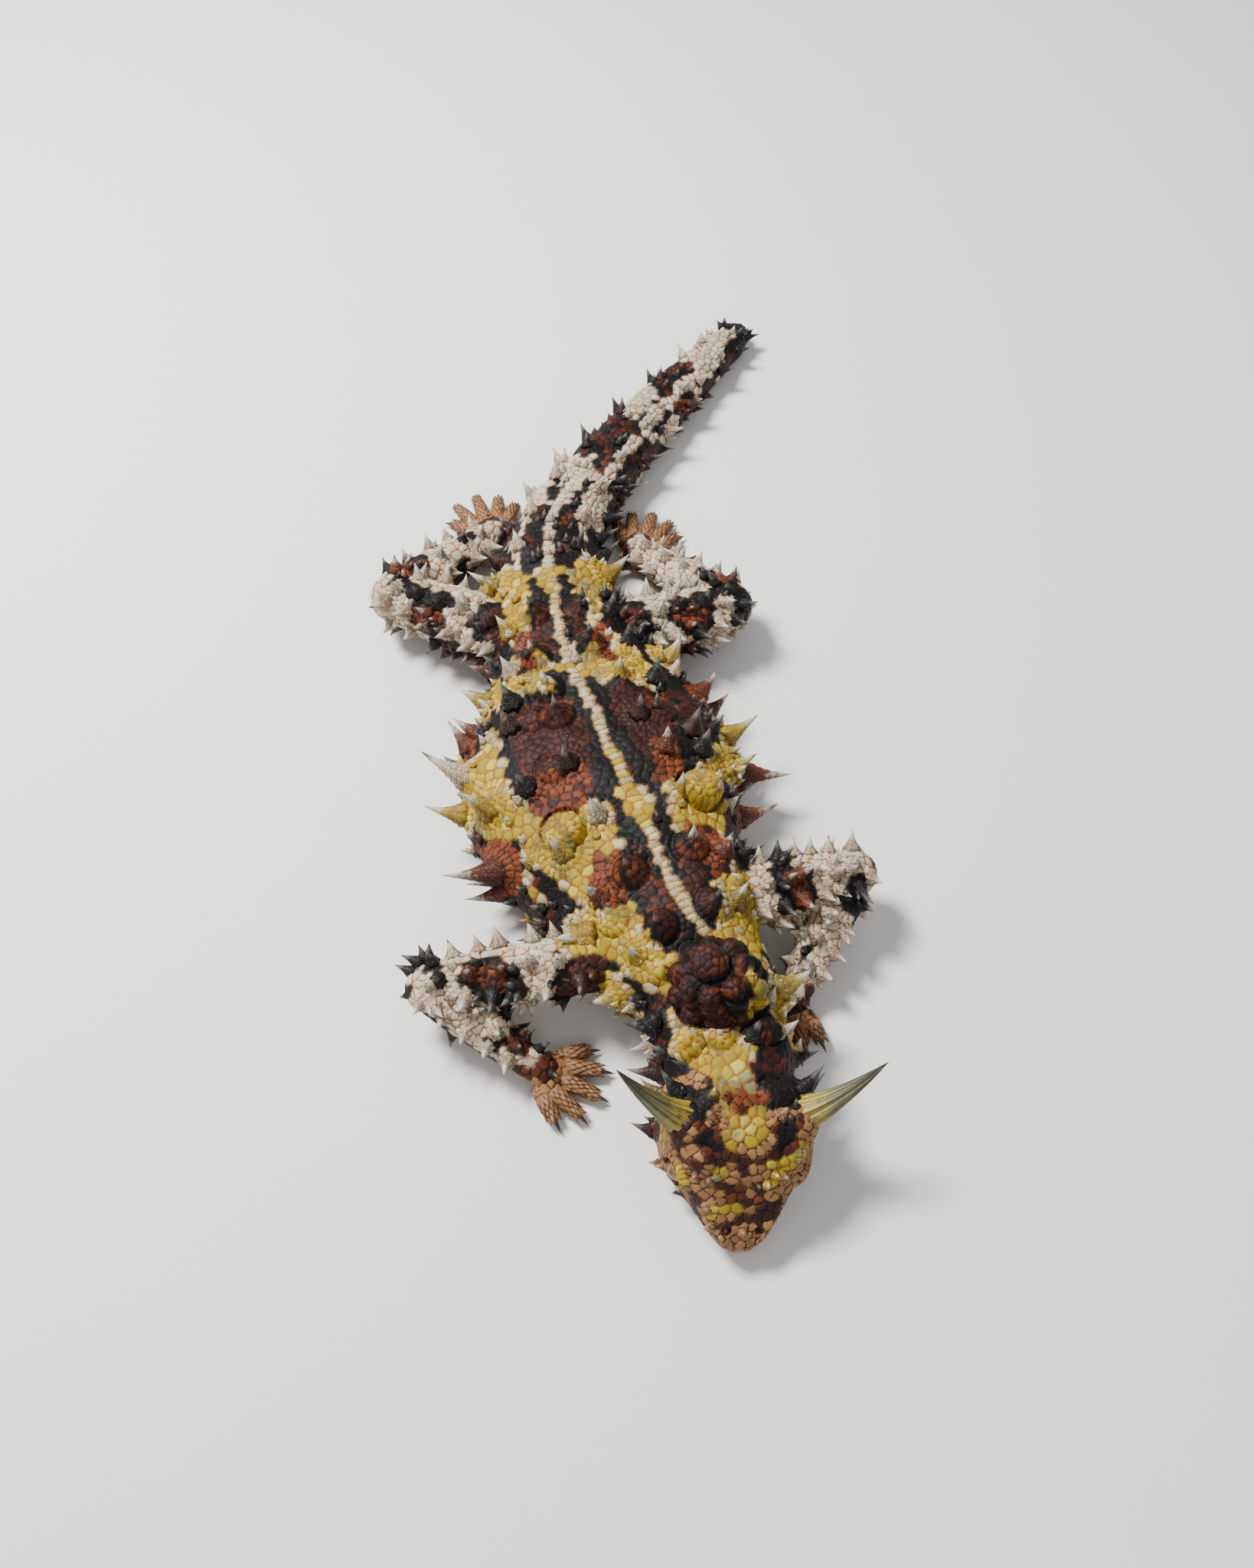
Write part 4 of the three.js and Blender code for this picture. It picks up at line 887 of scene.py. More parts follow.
def pick_scales(fixed, fixed_gap, candidates, gaps):
    """Scale centres: the fixed ones, then any candidate far enough from all before it."""
    cell = 1.8  # wider than the widest gap
    grid = {}
    chosen, spacing = [], []

    def add(p, gap):
        key = tuple((p // cell).astype(int))
        grid.setdefault(key, []).append(len(chosen))
        chosen.append(p)
        spacing.append(gap)

    def free(p, gap):
        x, y, z = (p // cell).astype(int)
        for i in (x - 1, x, x + 1):
            for j in (y - 1, y, y + 1):
                for k in (z - 1, z, z + 1):
                    for n in grid.get((i, j, k), ()):
                        q = chosen[n]
                        reach = 0.5 * (gap + spacing[n])
                        if (p[0] - q[0]) ** 2 + (p[1] - q[1]) ** 2 + (p[2] - q[2]) ** 2 < reach * reach:
                            return False
        return True

    for p, gap in zip(fixed, fixed_gap):
        if free(p, 0.75 * gap):
            add(p, gap)
    for p, gap in zip(candidates, gaps):
        if free(p, gap):
            add(p, gap)
    return np.array(chosen), np.array(spacing)


def seeded(seed):
    """The same repeatable variation that the solids' thorns have."""
    state = seed
    while True:
        state = (state * 1664525 + 1013904223) % 4294967296
        yield state / 4294967296


class Thorns:
    """Roots, directions and sizes of the animal's own rows of thorns."""

    def __init__(self):
        self.rows = []
        vary = seeded(20417)
        for first, last, count, degrees, length, radius, lean in AXIS_ROWS:
            for k in range(count):
                share = k / (count - 1)
                t = first + (last - first) * share
                size = 1 - 0.45 * share if first > TAIL_START else 1 - 0.25 * abs(share - 0.45)
                for mirrored in (False, True):
                    place = t + (next(vary) - 0.5) * 0.16
                    angle = (180 - degrees if mirrored else degrees) + (next(vary) - 0.5) * 5
                    grow = size * (0.9 + 0.2 * next(vary))
                    self.on_axis(place, angle, length * grow, radius * grow, lean)
        for t, degrees, length, radius, mark in FLANK_THORNS:
            self.on_axis(t, degrees, length, radius, 0.2, mark)
        for t, degrees, length, radius in NECK_THORNS:
            self.on_axis(t, degrees, length, radius, 0.1)
        for side in (1, -1):
            for forward, across, up, length, radius in HEAD_THORNS:
                angle = math.atan2(up, side * across)
                self.plant(HEAD_FORM, head_row(forward), angle, length, radius, head_way(-0.25, 0, 0))
        for name, segments in SEGMENTS.items():
            joints = LIMBS[name][0]
            outer = joints[1][0] > joints[0][0]
            for lower, first, last, count, degrees, length, radius in LIMB_ROWS:
                for k in range(count):
                    t = first + (last - first) * k / (count - 1) + (next(vary) - 0.5) * 0.05
                    angle = (degrees if outer else 180 - degrees) + (next(vary) - 0.5) * 12
                    grow = 0.85 + 0.35 * next(vary)
                    self.plant(segments[lower], t, math.radians(angle), length * grow, radius * grow, 0 * UP)
        keep = [row for row in self.rows if self.clear(row)]
        self.root, self.way, self.length, self.radius, self.mark = map(np.array, zip(*keep))

    def on_axis(self, t, degrees, length, radius, lean, mark=-1):
        angle = math.radians(degrees)
        self.plant(AXIS_FORM, t, angle, length, radius, lean * backward(AXIS_FORM, t, angle), mark)

    def plant(self, form, t, angle, length, radius, lean, mark=-1):
        root = surface(form, t, angle)
        way = surface_normal(form, t, angle) + lean
        if form is AXIS_FORM and root[2] < 6:
            way[2] = max(way[2], 0.12)
        self.rows.append((root, unit(way), length, radius, mark))

    def clear(self, row):
        """Not through the floor, and not inside another form."""
        root, way, length = row[:3]
        tip = root + way * length
        if root[2] < 2.2 or tip[2] < 0.6:
            return False
        return how_far_out(tip) > 1.03 and how_far_out(root + 0.5 * way * length) > 0.98


def how_far_out(point):
    """How far out a point lies in the form that holds it deepest: under 1 is within it."""
    points = point[None]
    _, _, offset, _, half, _, _, out = in_sections(points, 170)
    past = np.linalg.norm(offset[:, :2], axis=1) > half + 2
    best = np.where(past, np.maximum(out, 1.5), out)
    for segments in SEGMENTS.values():
        for segment in segments:
            best = np.minimum(best, segment.place(points)[1])
    return float(np.minimum(best, out_of_knob(points))[0])


def horn_lines():
    """Root, starting way and curve of the two brow horns, left one first."""
    return [
        (
            in_head(5.2, side * 5.7, 4.0),
            head_way(-0.14, side * 0.85, 0.56),
            head_way(-0.8, side * 0.1, 0.5) * 3.6,
        )
        for side in (1, -1)
    ]


# Smoothing of the remeshed flesh: rounds, and the facet size in millimetres that they are meant for
SMOOTH_ROUNDS, SMOOTH_FACET = 9, 0.26
# Most places on the skin that are tried for a scale
CANDIDATES = 90000
# Tubercles of the head, left side: forward, side, up, radius, height
HEAD_DOMES = ((9.4, 5.6, 4.4, 2.0, 0.7), (2.6, 3.6, 6.8, 1.8, 0.6))
# Beads round the knob's boss: distance from its middle, drop, radius and height
BOSS_BEADS = (3.9, 2.4, 1.4, 1.2)
KNOB_BEAD_HEIGHT, BOSS_HEIGHT = 1.0, 0.4
# Tubercles wider than this are flatter and have a deeper groove round them
BROAD_DOME = 2.6
# Mounds round thorns: reach for a thorn's radius, rise for its length, least radius of a ringed one, and the
# width of a ring
MOUND_REACH, MOUND_RISE, RINGED_MOUND, MOUND_RING = 1.85, 0.42, 1.6, 0.95


def mark_channels(mark, shaded_opening=0.0):
    """Colour attributes of markings: cream, yellow and red, then black, tan and the painted shade of the
    head's openings.
    """
    marks = np.stack([mark == CREAM, mark == YELLOW, mark == RED], -1).astype(float)
    return marks, np.stack([mark == BLACK, mark == TAN, shaded_opening + 0.0 * mark], -1).astype(float)


class Skin:
    """The animal's surface: its mesh, its scales and its markings."""

    def __init__(self, facet, relief):
        self.points, self.quads = remeshed(flesh_lofts(), facet)
        edges = np.concatenate([self.quads[:, [0, 1]], self.quads[:, [1, 2]]])
        self.edges = np.unique(np.sort(edges, axis=1), axis=0)
        self.smooth(int(SMOOTH_ROUNDS * SMOOTH_FACET / facet))
        self.normals = vertex_normals(self.points, self.quads)
        self.thorns = Thorns()
        self.tree = tree_of(self.points)
        self.domes = self.place_domes()
        self.scatter_scales()
        self.raise_relief(relief)
        self.points[:, 2] = np.maximum(self.points[:, 2], 0)
        self.normals = vertex_normals(self.points, self.quads)

    def smooth(self, rounds):
        for _ in range(rounds):
            self.points += 0.6 * (neighbours_mean(self.points, self.edges) - self.points)

    def fixed_scales(self):
        """Beads of the stripe, and rings round tubercles, thorns, the knob's bosses and the eyes."""
        spots, gaps = [], []

        def ring(centre, way, reach, gap, turned, sink=0.0):
            u = unit(np.cross(way, [0.3, 0.2, 1.0]))
            v = np.cross(way, u)
            count = max(4, int(round(2 * np.pi * reach / gap)))
            for k in range(count):
                angle = 2 * np.pi * (k + 0.5 * turned) / count
                spots.append(centre + reach * (u * math.cos(angle) + v * math.sin(angle)) - sink * way)
                gaps.append(0.92 * gap)

        t = STRIPE_START
        while t < STRIPE_END:
            aside = np.interp(t, *np.array(STRIPE).T)
            aside += 0.14 * math.sin(9.7 * t) + 0.1 * math.sin(23.0 * t)
            spots.append(surface(AXIS_FORM, t, back_angle(t, aside)))
            gaps.append(STRIPE_GAP)
            ahead = surface(AXIS_FORM, t + STRIPE_PIECE, math.pi / 2) - surface(AXIS_FORM, t, math.pi / 2)
            t += STRIPE_STEP / np.linalg.norm(ahead)
        for centre, way, radius, _ in self.domes:
            spots.append(centre)
            gaps.append(1.0)
            for k in range(1, int(radius / 0.85) + 1):
                ring(centre, way, 0.85 * k, 0.85, k % 2)
        for root, way, radius in zip(self.thorns.root, self.thorns.way, self.thorns.radius):
            shares, gap = ((0.6, 1.05, 1.5), 0.82) if radius > 1.5 else ((0.7, 1.3), 0.72)
            for k, share in enumerate(shares):
                ring(root, way, radius * share, gap, k % 2)
        for x, y, z, _, tall in KNOB_BOSSES:
            for k in range(1, 5):
                ring(KNOB_CENTRE + np.array([x, y, z + tall]), UP, 0.9 * k, 0.9, k % 2, 0.32 * k * k * 0.4)
        for side in (1, -1):
            centre, gaze = eye_frame(side)[:2]
            for reach, gap in ((1.95, 0.58), (2.55, 0.72)):
                ring(centre + 0.6 * gaze, gaze, reach, gap, 0)
        return self.points[nearest_of(self.tree, spots)], np.array(gaps)

    def place_domes(self):
        """Tubercles of the back, nape and head, and the knob's beads: centre, way out, radius and height."""
        domes = []

        def add(point, radius, height):
            vertex = self.tree.find(point)[1]
            domes.append((self.points[vertex], self.normals[vertex], radius, height))

        for t, s, radius, height in DOMES:
            add(surface(AXIS_FORM, t, back_angle(t, s)), radius, height)
        for root, radius in zip(self.thorns.root, self.thorns.radius):
            place = Place(root[None])
            if 1.5 < radius and 2 < abs(place.s[0]) < 5.4 and 3.5 < place.t[0] < 11.2:
                add(root, 2.3, 0.9)
        for level, count, radius in KNOB_BEADS:
            for k in range(count):
                turn, rise = 2 * math.pi * (k + level / 24) / count, math.radians(level)
                level_out = math.cos(rise)
                out = np.array([math.cos(turn) * level_out, math.sin(turn) * level_out, math.sin(rise)])
                add(KNOB_CENTRE + out * KNOB_SIZE, radius, KNOB_BEAD_HEIGHT)
        for side in (1, -1):
            for forward, aside, up, radius, height in HEAD_DOMES:
                add(in_head(forward, side * aside, up), radius, height)
        reach, drop, radius, height = BOSS_BEADS
        for turn in np.radians(np.arange(0, 360, 45)):
            add(KNOB_CENTRE + BOSS_TOP + reach * level_way(turn) - drop * UP, radius, height)
        add(KNOB_CENTRE + BOSS_TOP, BOSS_RADIUS, BOSS_HEIGHT)
        return domes

    def scatter_scales(self):
        """Scales over the whole skin, and each corner's own scale and distance from that scale's edge."""
        rng = np.random.default_rng(7)
        fixed, fixed_gap = self.fixed_scales()
        pick = rng.permutation(len(self.points))[:CANDIDATES]
        candidates = self.points[pick]
        place = Place(candidates)
        gaps = scale_spacing(place, marks_at(place)) * (0.85 + 0.3 * rng.random(len(pick)))
        self.scales, gaps = pick_scales(fixed, fixed_gap, candidates, gaps)
        self.scale_place = Place(self.scales)
        self.scale_mark = self.edged(marks_at(self.scale_place), rng)
        self.scale_tone = rng.random(len(self.scales))
        seeds = tree_of(self.scales)
        found = [seeds.find_n(p, 2) for p in self.points]
        self.nearest = np.array([f[0][1] for f in found])
        first = np.array([f[0][2] for f in found])
        second = np.array([f[1][2] for f in found])
        self.edge = np.clip((second - first) / gaps[self.nearest], 0, 1)

    def edged(self, mark, rng):
        """Thorns keep their own colour; dark patches get black edges, and yellow ones rows of cream beads."""
        tree = tree_of(self.scales)
        thorns = self.thorns
        for root, radius, own in zip(thorns.root, thorns.radius, thorns.mark):
            if own >= 0:
                near = within(tree, root, 1.55 * radius)[0]
                if own in (RED, BROWN):
                    mark[within(tree, root, 1.55 * radius + 0.9)[0]] = BLACK
                mark[near] = own
        before = mark.copy()
        pale = np.isin(before, (CREAM, YELLOW, TAN))
        for i in np.flatnonzero(np.isin(before, (YELLOW, BROWN)) & (self.scale_place.kind == AXIAL)):
            around = within(tree, self.scales[i], 1.3)[0]
            if before[i] == BROWN and pale[around].any():
                mark[i] = BLACK
            if before[i] == YELLOW and (before[around] >= BROWN).any() and rng.random() < 0.65:
                mark[i] = CREAM
        return mark

    def raise_relief(self, relief):
        """Raised scales, folds of the trunk, tubercles, mounds, and the openings of the head."""
        mark = self.scale_mark[self.nearest]
        kind = self.scale_place.kind[self.nearest]
        height = by_key(RELIEF, mark)
        height = np.where(kind == LIMB, LIMB_RELIEF, height)
        height = np.where(kind == KNOB, KNOB_RELIEF, height)
        height = np.where((mark == CREAM) & (kind == AXIAL), STRIPE_RELIEF, height)
        tone = self.scale_tone[self.nearest]
        dome = step(0.0, 0.5, self.edge) ** 0.8
        lift = relief * height * (0.6 + 0.8 * tone) * (dome - 0.4)
        x, y = self.points[:, 0], self.points[:, 1]
        folds = np.sin(0.9 * y + 0.35 * x) * np.sin(0.55 * x - 0.2 * y)
        folds = folds + 0.8 * np.sin(0.42 * y - 0.5 * x + 1.0)
        lift += np.where(kind == AXIAL, 0.2 * folds, 0.06 * folds)
        self.points += self.normals * lift[:, None]
        self.cavity = np.clip(1 - step(0.02, 0.3, self.edge), 0, 1)
        self.raise_domes()
        self.raise_mounds()
        self.shape_head()

    def raise_domes(self):
        """Rounded tubercles, each with a groove round it."""
        move = np.zeros(len(self.points))
        for centre, _, radius, height in self.domes:
            index, away = within(self.tree, centre, 1.2 * radius)
            if radius > BROAD_DOME:
                lift, groove = (1 - away**4) ** 2, 0.9
            else:
                lift, groove = (1 - away**2) ** 1.5, 0.3
            move[index] = np.maximum(move[index], height * lift)
            move[index] -= groove * height * bell(away, 0.93, 0.08)
        self.points += self.normals * move[:, None]

    def raise_mounds(self):
        """The skin drawn up to each thorn in a flaring cone, with rings round the larger ones."""
        thorns = self.thorns
        move = np.zeros_like(self.points)
        mounds = list(zip(thorns.root, thorns.way, thorns.length, thorns.radius))
        mounds += [(root, unit(way), *HORN_MOUND) for root, way, _ in horn_lines()]
        for root, way, length, radius in mounds:
            reach = MOUND_REACH * radius
            index, away = within(self.tree, root, reach)
            lift = MOUND_RISE * length * (1 - away) ** 2
            if radius > RINGED_MOUND:
                lift += 0.09 * np.sin(2 * np.pi * away * reach / MOUND_RING) * (1 - away) * 1.2
            better = lift > np.linalg.norm(move[index], axis=1)
            move[index[better]] = lift[better, None] * way
        self.points += move

    def shape_head(self):
        """The mouth's slit and lips, ears and nostrils, and the hollows and rims of the eyes, with painted
        shade kept for the slit, the pits and the eye hollows.
        """
        local = (self.points - HEAD_ORIGIN) @ HEAD_TURN
        forward, up = -local[:, 1], local[:, 2]
        inward = -self.normals
        near = self.scale_place.kind[self.nearest] == HEADED
        level = MOUTH_LEVEL + 0.25 * np.sin(0.55 * (forward - MOUTH_BACK)) + 0.03 * (18 - forward)
        shaded_opening = bell(up, level, 0.26) * step(MOUTH_BACK - 0.8, MOUTH_BACK + 0.6, forward) * near
        lips = bell(np.abs(up - level), 0.75, 0.4) * step(MOUTH_BACK, MOUTH_BACK + 1, forward) * near
        move = inward * (0.75 * shaded_opening - 0.14 * lips)[:, None]
        # Painted shade: the mouth's slit is also darkened to black in the skin's colour
        self.shaded_opening = shaded_opening
        for side in (1, -1):
            for (ahead, aside, height), radius, depth in (EAR, NOSTRIL):
                away = np.linalg.norm(self.points - in_head(ahead, side * aside, height), axis=1) / radius
                pit = np.exp(-(away**4)) * near
                move += inward * (depth * pit - 0.2 * (bell(away, 1.25, 0.35) * near))[:, None]
                # Painted shade: the ear and nostril pits are darkened in the skin's colour
                self.shaded_opening = np.maximum(self.shaded_opening, pit * 0.85)
        self.points += move
        for side in (1, -1):
            centre, gaze, flat, tall = eye_frame(side)
            offset = self.points - centre
            out, across, high = offset @ gaze, offset @ flat, offset @ tall
            opening = np.sqrt((across / 1.75) ** 2 + (high / 1.3) ** 2)
            close = (np.linalg.norm(offset, axis=1) < 4) & near & (out > -1.0)
            sink = (1 - step(0.85, 1.1, opening)) * close
            self.points += ((np.minimum(out, 0.25) - out) * sink)[:, None] * gaze
            self.points += (0.28 * (bell(opening, 1.3, 0.22) * close))[:, None] * gaze
            # Painted shade: the sunk skin round each eyeball is darkened in the skin's colour
            self.shaded_opening = np.maximum(self.shaded_opening, 0.7 * sink)

    def attributes(self):
        place, mark = self.scale_place, self.scale_mark[self.nearest]
        marks, darks = mark_channels(mark, self.shaded_opening)
        marks[(mark == CREAM) & ((place.kind == AXIAL) & (place.t < BACK_END))[self.nearest]] = WARM_CREAM
        darks[:, :2] = self.soften(darks[:, :2])
        return [
            ("marks", self.soften(marks)),
            ("darks", darks),
            ("scale_tone", self.scale_tone[self.nearest]),
            ("groove", self.cavity),
        ]

    def soften(self, values):
        return 0.5 * values + 0.5 * neighbours_mean(values, self.edges)


# The finished skin, for the operators that grow things on it
SKIN = {}


class Value:
    """A number socket in a material, so that shader maths reads as plain expressions."""

    def __init__(self, finish, socket):
        self.finish, self.socket = finish, socket

    def _math(self, operation, first, second):
        node = self.finish.node("ShaderNodeMath", {"operation": operation}, {0: first, 1: second})
        return Value(self.finish, node.outputs[0])

    def __add__(self, other):
        return self._math("ADD", self, other)

    def __sub__(self, other):
        return self._math("SUBTRACT", self, other)

    def __mul__(self, other):
        return self._math("MULTIPLY", self, other)

    __radd__, __rmul__ = __add__, __mul__

    def __rsub__(self, other):
        return self._math("SUBTRACT", other, self)

    def above(self, low, high):
        """Smoothly from 0 at low to 1 at high."""
        links = {"Value": self, "From Min": low, "From Max": high}
        node = self.finish.node("ShaderNodeMapRange", {"interpolation_type": "SMOOTHSTEP"}, links)
        return Value(self.finish, node.outputs[0])


class Finish:
    """A material built from named colours and nodes."""

    def __init__(self, name):
        self.material = bpy.data.materials.new(name)
        self.material.use_nodes = True
        self.tree = self.material.node_tree
        self.shader = self.tree.nodes["Principled BSDF"]
        self.spot = self.node("ShaderNodeTexCoord", {}, {}).outputs["Object"]

    def node(self, kind, settings, links):
        node = self.tree.nodes.new(kind)
        for name, value in settings.items():
            setattr(node, name, value)
        for key, value in links.items():
            self.join(node.inputs[key], value)
        return node

    def join(self, socket, value):
        if isinstance(value, Value):
            value = value.socket
        if isinstance(value, bpy.types.NodeSocket):
            self.tree.links.new(value, socket)
        else:
            socket.default_value = value

    def attribute(self, name):
        return self.node("ShaderNodeAttribute", {"attribute_name": name}, {})

    def number(self, name):
        return Value(self, self.attribute(name).outputs["Fac"])

    def parts(self, name):
        split = self.node("ShaderNodeSeparateXYZ", {}, {0: self.attribute(name).outputs["Vector"]})
        return [Value(self, split.outputs[k]) for k in range(3)]

    def noise(self, scale, detail=3.0, roughness=0.6):
        links = {"Vector": self.spot, "Scale": scale, "Detail": detail, "Roughness": roughness}
        return Value(self, self.node("ShaderNodeTexNoise", {}, links).outputs["Fac"])

    def cells(self, scale):
        """Distance from the nearest edge between small cells."""
        links = {"Vector": self.spot, "Scale": scale}
        node = self.node("ShaderNodeTexVoronoi", {"feature": "DISTANCE_TO_EDGE"}, links)
        return Value(self, node.outputs["Distance"])

    def mix(self, factor, first, second, blend="MIX"):
        links = {0: factor, 6: first, 7: second}
        return self.node("ShaderNodeMix", {"data_type": "RGBA", "blend_type": blend}, links).outputs[2]

    def grey(self, value):
        links = {0: value, 1: value, 2: value}
        return self.node("ShaderNodeCombineColor", {}, links).outputs[0]

    def bump(self, height, strength, distance):
        links = {"Height": height, "Strength": strength, "Distance": distance}
        self.join(self.shader.inputs["Normal"], self.node("ShaderNodeBump", {}, links).outputs[0])

    def surface(self, **values):
        for name, value in values.items():
            self.join(self.shader.inputs[name.replace("_", " ")], value)


def marked_colour(finish, look, tone):
    """The animal's markings with specks and a shade for every scale, and the colour of their seams."""
    cream, yellow, red = finish.parts("marks")
    # The third channel of darks is painted shade of the mouth's slit, the ear and nostril pits and the eye
    # hollows
    black, tan, shaded_opening = finish.parts("darks")
    blotch = finish.noise(420.0, 4.0)
    smudge = finish.noise(160.0, 3.0)
    fine = finish.noise(2600.0, 3.0)
    colour = finish.mix(blotch.above(0.38, 0.66), look.brown, look.deep_brown)
    colour = finish.mix((smudge + tone * 0.15).above(0.58, 0.72) * 0.4, colour, look.red)
    colour = finish.mix(black, colour, look.black)
    colour = finish.mix(tan, colour, finish.mix(blotch.above(0.4, 0.65), look.tan, look.rose))
    colour = finish.mix(red, colour, finish.mix(fine.above(0.52, 0.7) * 0.6, look.red, look.deep_brown))
    greenish = finish.mix(tone.above(0.45, 1.0) * 0.75, look.yellow, look.pale_yellow)
    greenish = finish.mix((smudge + (blotch - 0.5) * 0.5).above(0.5, 0.64) * 0.75, greenish, look.olive)
    greenish = finish.mix((tone + smudge - 0.5).above(0.88, 0.98) * 0.65, greenish, look.speck)
    colour = finish.mix(yellow, colour, greenish)
    colour = finish.mix(cream, colour, finish.mix(blotch.above(0.52, 0.75) * 0.45, look.cream, look.tan))
    pale = cream + yellow
    colour = finish.mix(fine.above(0.57, 0.72) * 0.6 * pale, colour, look.speck)
    colour = finish.mix(fine.above(0.64, 0.82) * 0.22 * (1 - pale), colour, look.tip)
    shade = tone * 0.45 + 0.76 + (blotch - 0.5) * 0.35
    colour = finish.mix(1.0, colour, finish.grey(shade), "MULTIPLY")
    seam = finish.mix(pale.above(0.2, 0.8), look.dark_seam, look.pale_seam)
    return colour, seam, pale, shaded_opening, fine


def skin_material(look):
    finish = Finish("scaly_skin")
    tone = finish.number("scale_tone")
    colour, seam, pale, shaded_opening, fine = marked_colour(finish, look, tone)
    groove = finish.number("groove")
    colour = finish.mix(groove.above(0.16, 0.8) * 0.9, colour, seam)
    # Painted shade: the mouth's slit, the pits of ears and nostrils and the hollows round the eyes are filled
    # with black
    colour = finish.mix(shaded_opening, colour, look.black)
    finish.surface(Base_Color=colour, Roughness=0.5 + fine * 0.16 + 0.08 * pale, Specular_IOR_Level=0.16)
    finish.bump(fine + groove * -0.9, 0.4, 0.00012)
    return finish.material


def thorn_material(look):
    """Granular at the root in the skin's colours, streaked and smoother to a pale or dark point."""
    finish = Finish("thorn")
    height = finish.number("height")
    tone = finish.number("scale_tone")
    rib = finish.number("rib")
    colour, seam, pale, _, fine = marked_colour(finish, look, tone)
    rusty = finish.parts("marks")[2]
    streak = finish.noise(1500.0, 2.0)
    grain_edge = (1 - finish.cells(2300.0).above(0.03, 0.16)) * (1 - height).above(0.3, 0.75)
    colour = finish.mix(grain_edge * 0.75, colour, seam)
    dark = (1 - pale) * (1 - rusty * 0.9)
    ends = (height + (streak - 0.5) * 0.9).above(0.4, 0.85)
    colour = finish.mix(ends * (1 - dark * 0.75) * 0.9, colour, look.tip)
    colour = finish.mix(rib * (1 - height) * 0.5, colour, look.dark_seam)
    dark_end = (height + (tone - 0.5) * 0.3).above(0.82, 0.98) * 0.8 * tone.above(0.3, 0.6)
    colour = finish.mix(dark_end, colour, look.dark_tip)
    finish.surface(Base_Color=colour, Roughness=0.46 + fine * 0.14, Specular_IOR_Level=0.3)
    finish.bump(fine * 0.7 + streak * 0.8 - grain_edge * 1.4, 0.5, 0.00014)
    return finish.material


def horn_material(look):
    finish = Finish("horn")
    height = finish.number("height")
    rib = finish.number("rib")
    streak = finish.noise(900.0, 4.0)
    colour = finish.mix((height + (streak - 0.5) * 0.35).above(0.05, 0.4), look.yellow, look.olive)
    colour = finish.mix((height + (streak - 0.5) * 0.3).above(0.4, 0.95), colour, look.dark_tip)
    strand = finish.number("strand")
    colour = finish.mix((strand + streak - 0.5).above(0.55, 0.8) * 0.75, colour, look.deep_brown)
    colour = finish.mix(rib * 0.5, colour, look.dark_seam)
    finish.surface(Base_Color=colour, Roughness=0.42 + streak * 0.15)
    finish.bump(streak + strand - rib * 0.6, 0.5, 0.00015)
    return finish.material


def toe_material(look):
    """Tan scales of the fingers and toes, browner to their keels and points."""
    finish = Finish("toe_scale")
    height = finish.number("height")
    tone = finish.number("scale_tone")
    streak = finish.noise(1300.0, 3.0)
    colour = finish.mix(tone.above(0.1, 0.8) * 0.7, look.tan, look.rose)
    colour = finish.mix((height + (streak - 0.5) * 0.6).above(0.35, 0.85) * 0.9, colour, look.brown)
    colour = finish.mix((0.3 - height).above(0.0, 0.3) * 0.7, colour, look.deep_brown)
    finish.surface(Base_Color=colour, Roughness=0.48 + streak * 0.12, Specular_IOR_Level=0.3)
    finish.bump(streak, 0.3, 0.0001)
    return finish.material


def claw_material(look):
    finish = Finish("claw")
    height = finish.number("height")
    streak = finish.noise(1800.0, 3.0)
    colour = finish.mix((height + streak * 0.3).above(0.2, 0.9), look.tan, look.dark_tip)
    finish.surface(Base_Color=colour, Roughness=0.3 + streak * 0.12)
    finish.bump(streak, 0.2, 0.0001)
    return finish.material


def eye_material(look):
    finish = Finish("eye")
    away = finish.number("iris")
    rays = finish.noise(2200.0, 4.0)
    colour = finish.mix((away + (rays - 0.5) * 0.25).above(0.36, 0.44), look.pupil, look.iris)
    colour = finish.mix((away + (rays - 0.5) * 0.2).above(0.66, 0.95), colour, look.pupil)
    finish.surface(Base_Color=colour, Roughness=0.12, Coat_Weight=0.5)
    return finish.material


def stage_material(look):
    finish = Finish("pale_floor")
    grain = finish.noise(60.0, 2.0)
    colour = finish.mix(grain * 0.08, look.floor, look.floor_shade)
    finish.surface(Base_Color=colour, Roughness=0.85)
    return finish.material


# Cones: how far the foot goes below the root, the point's width, how deep ribs go, and a tile's thickness
FOOT, POINT, RIB_DEPTH, TILE = 0.12, 0.012, 0.14, 0.5


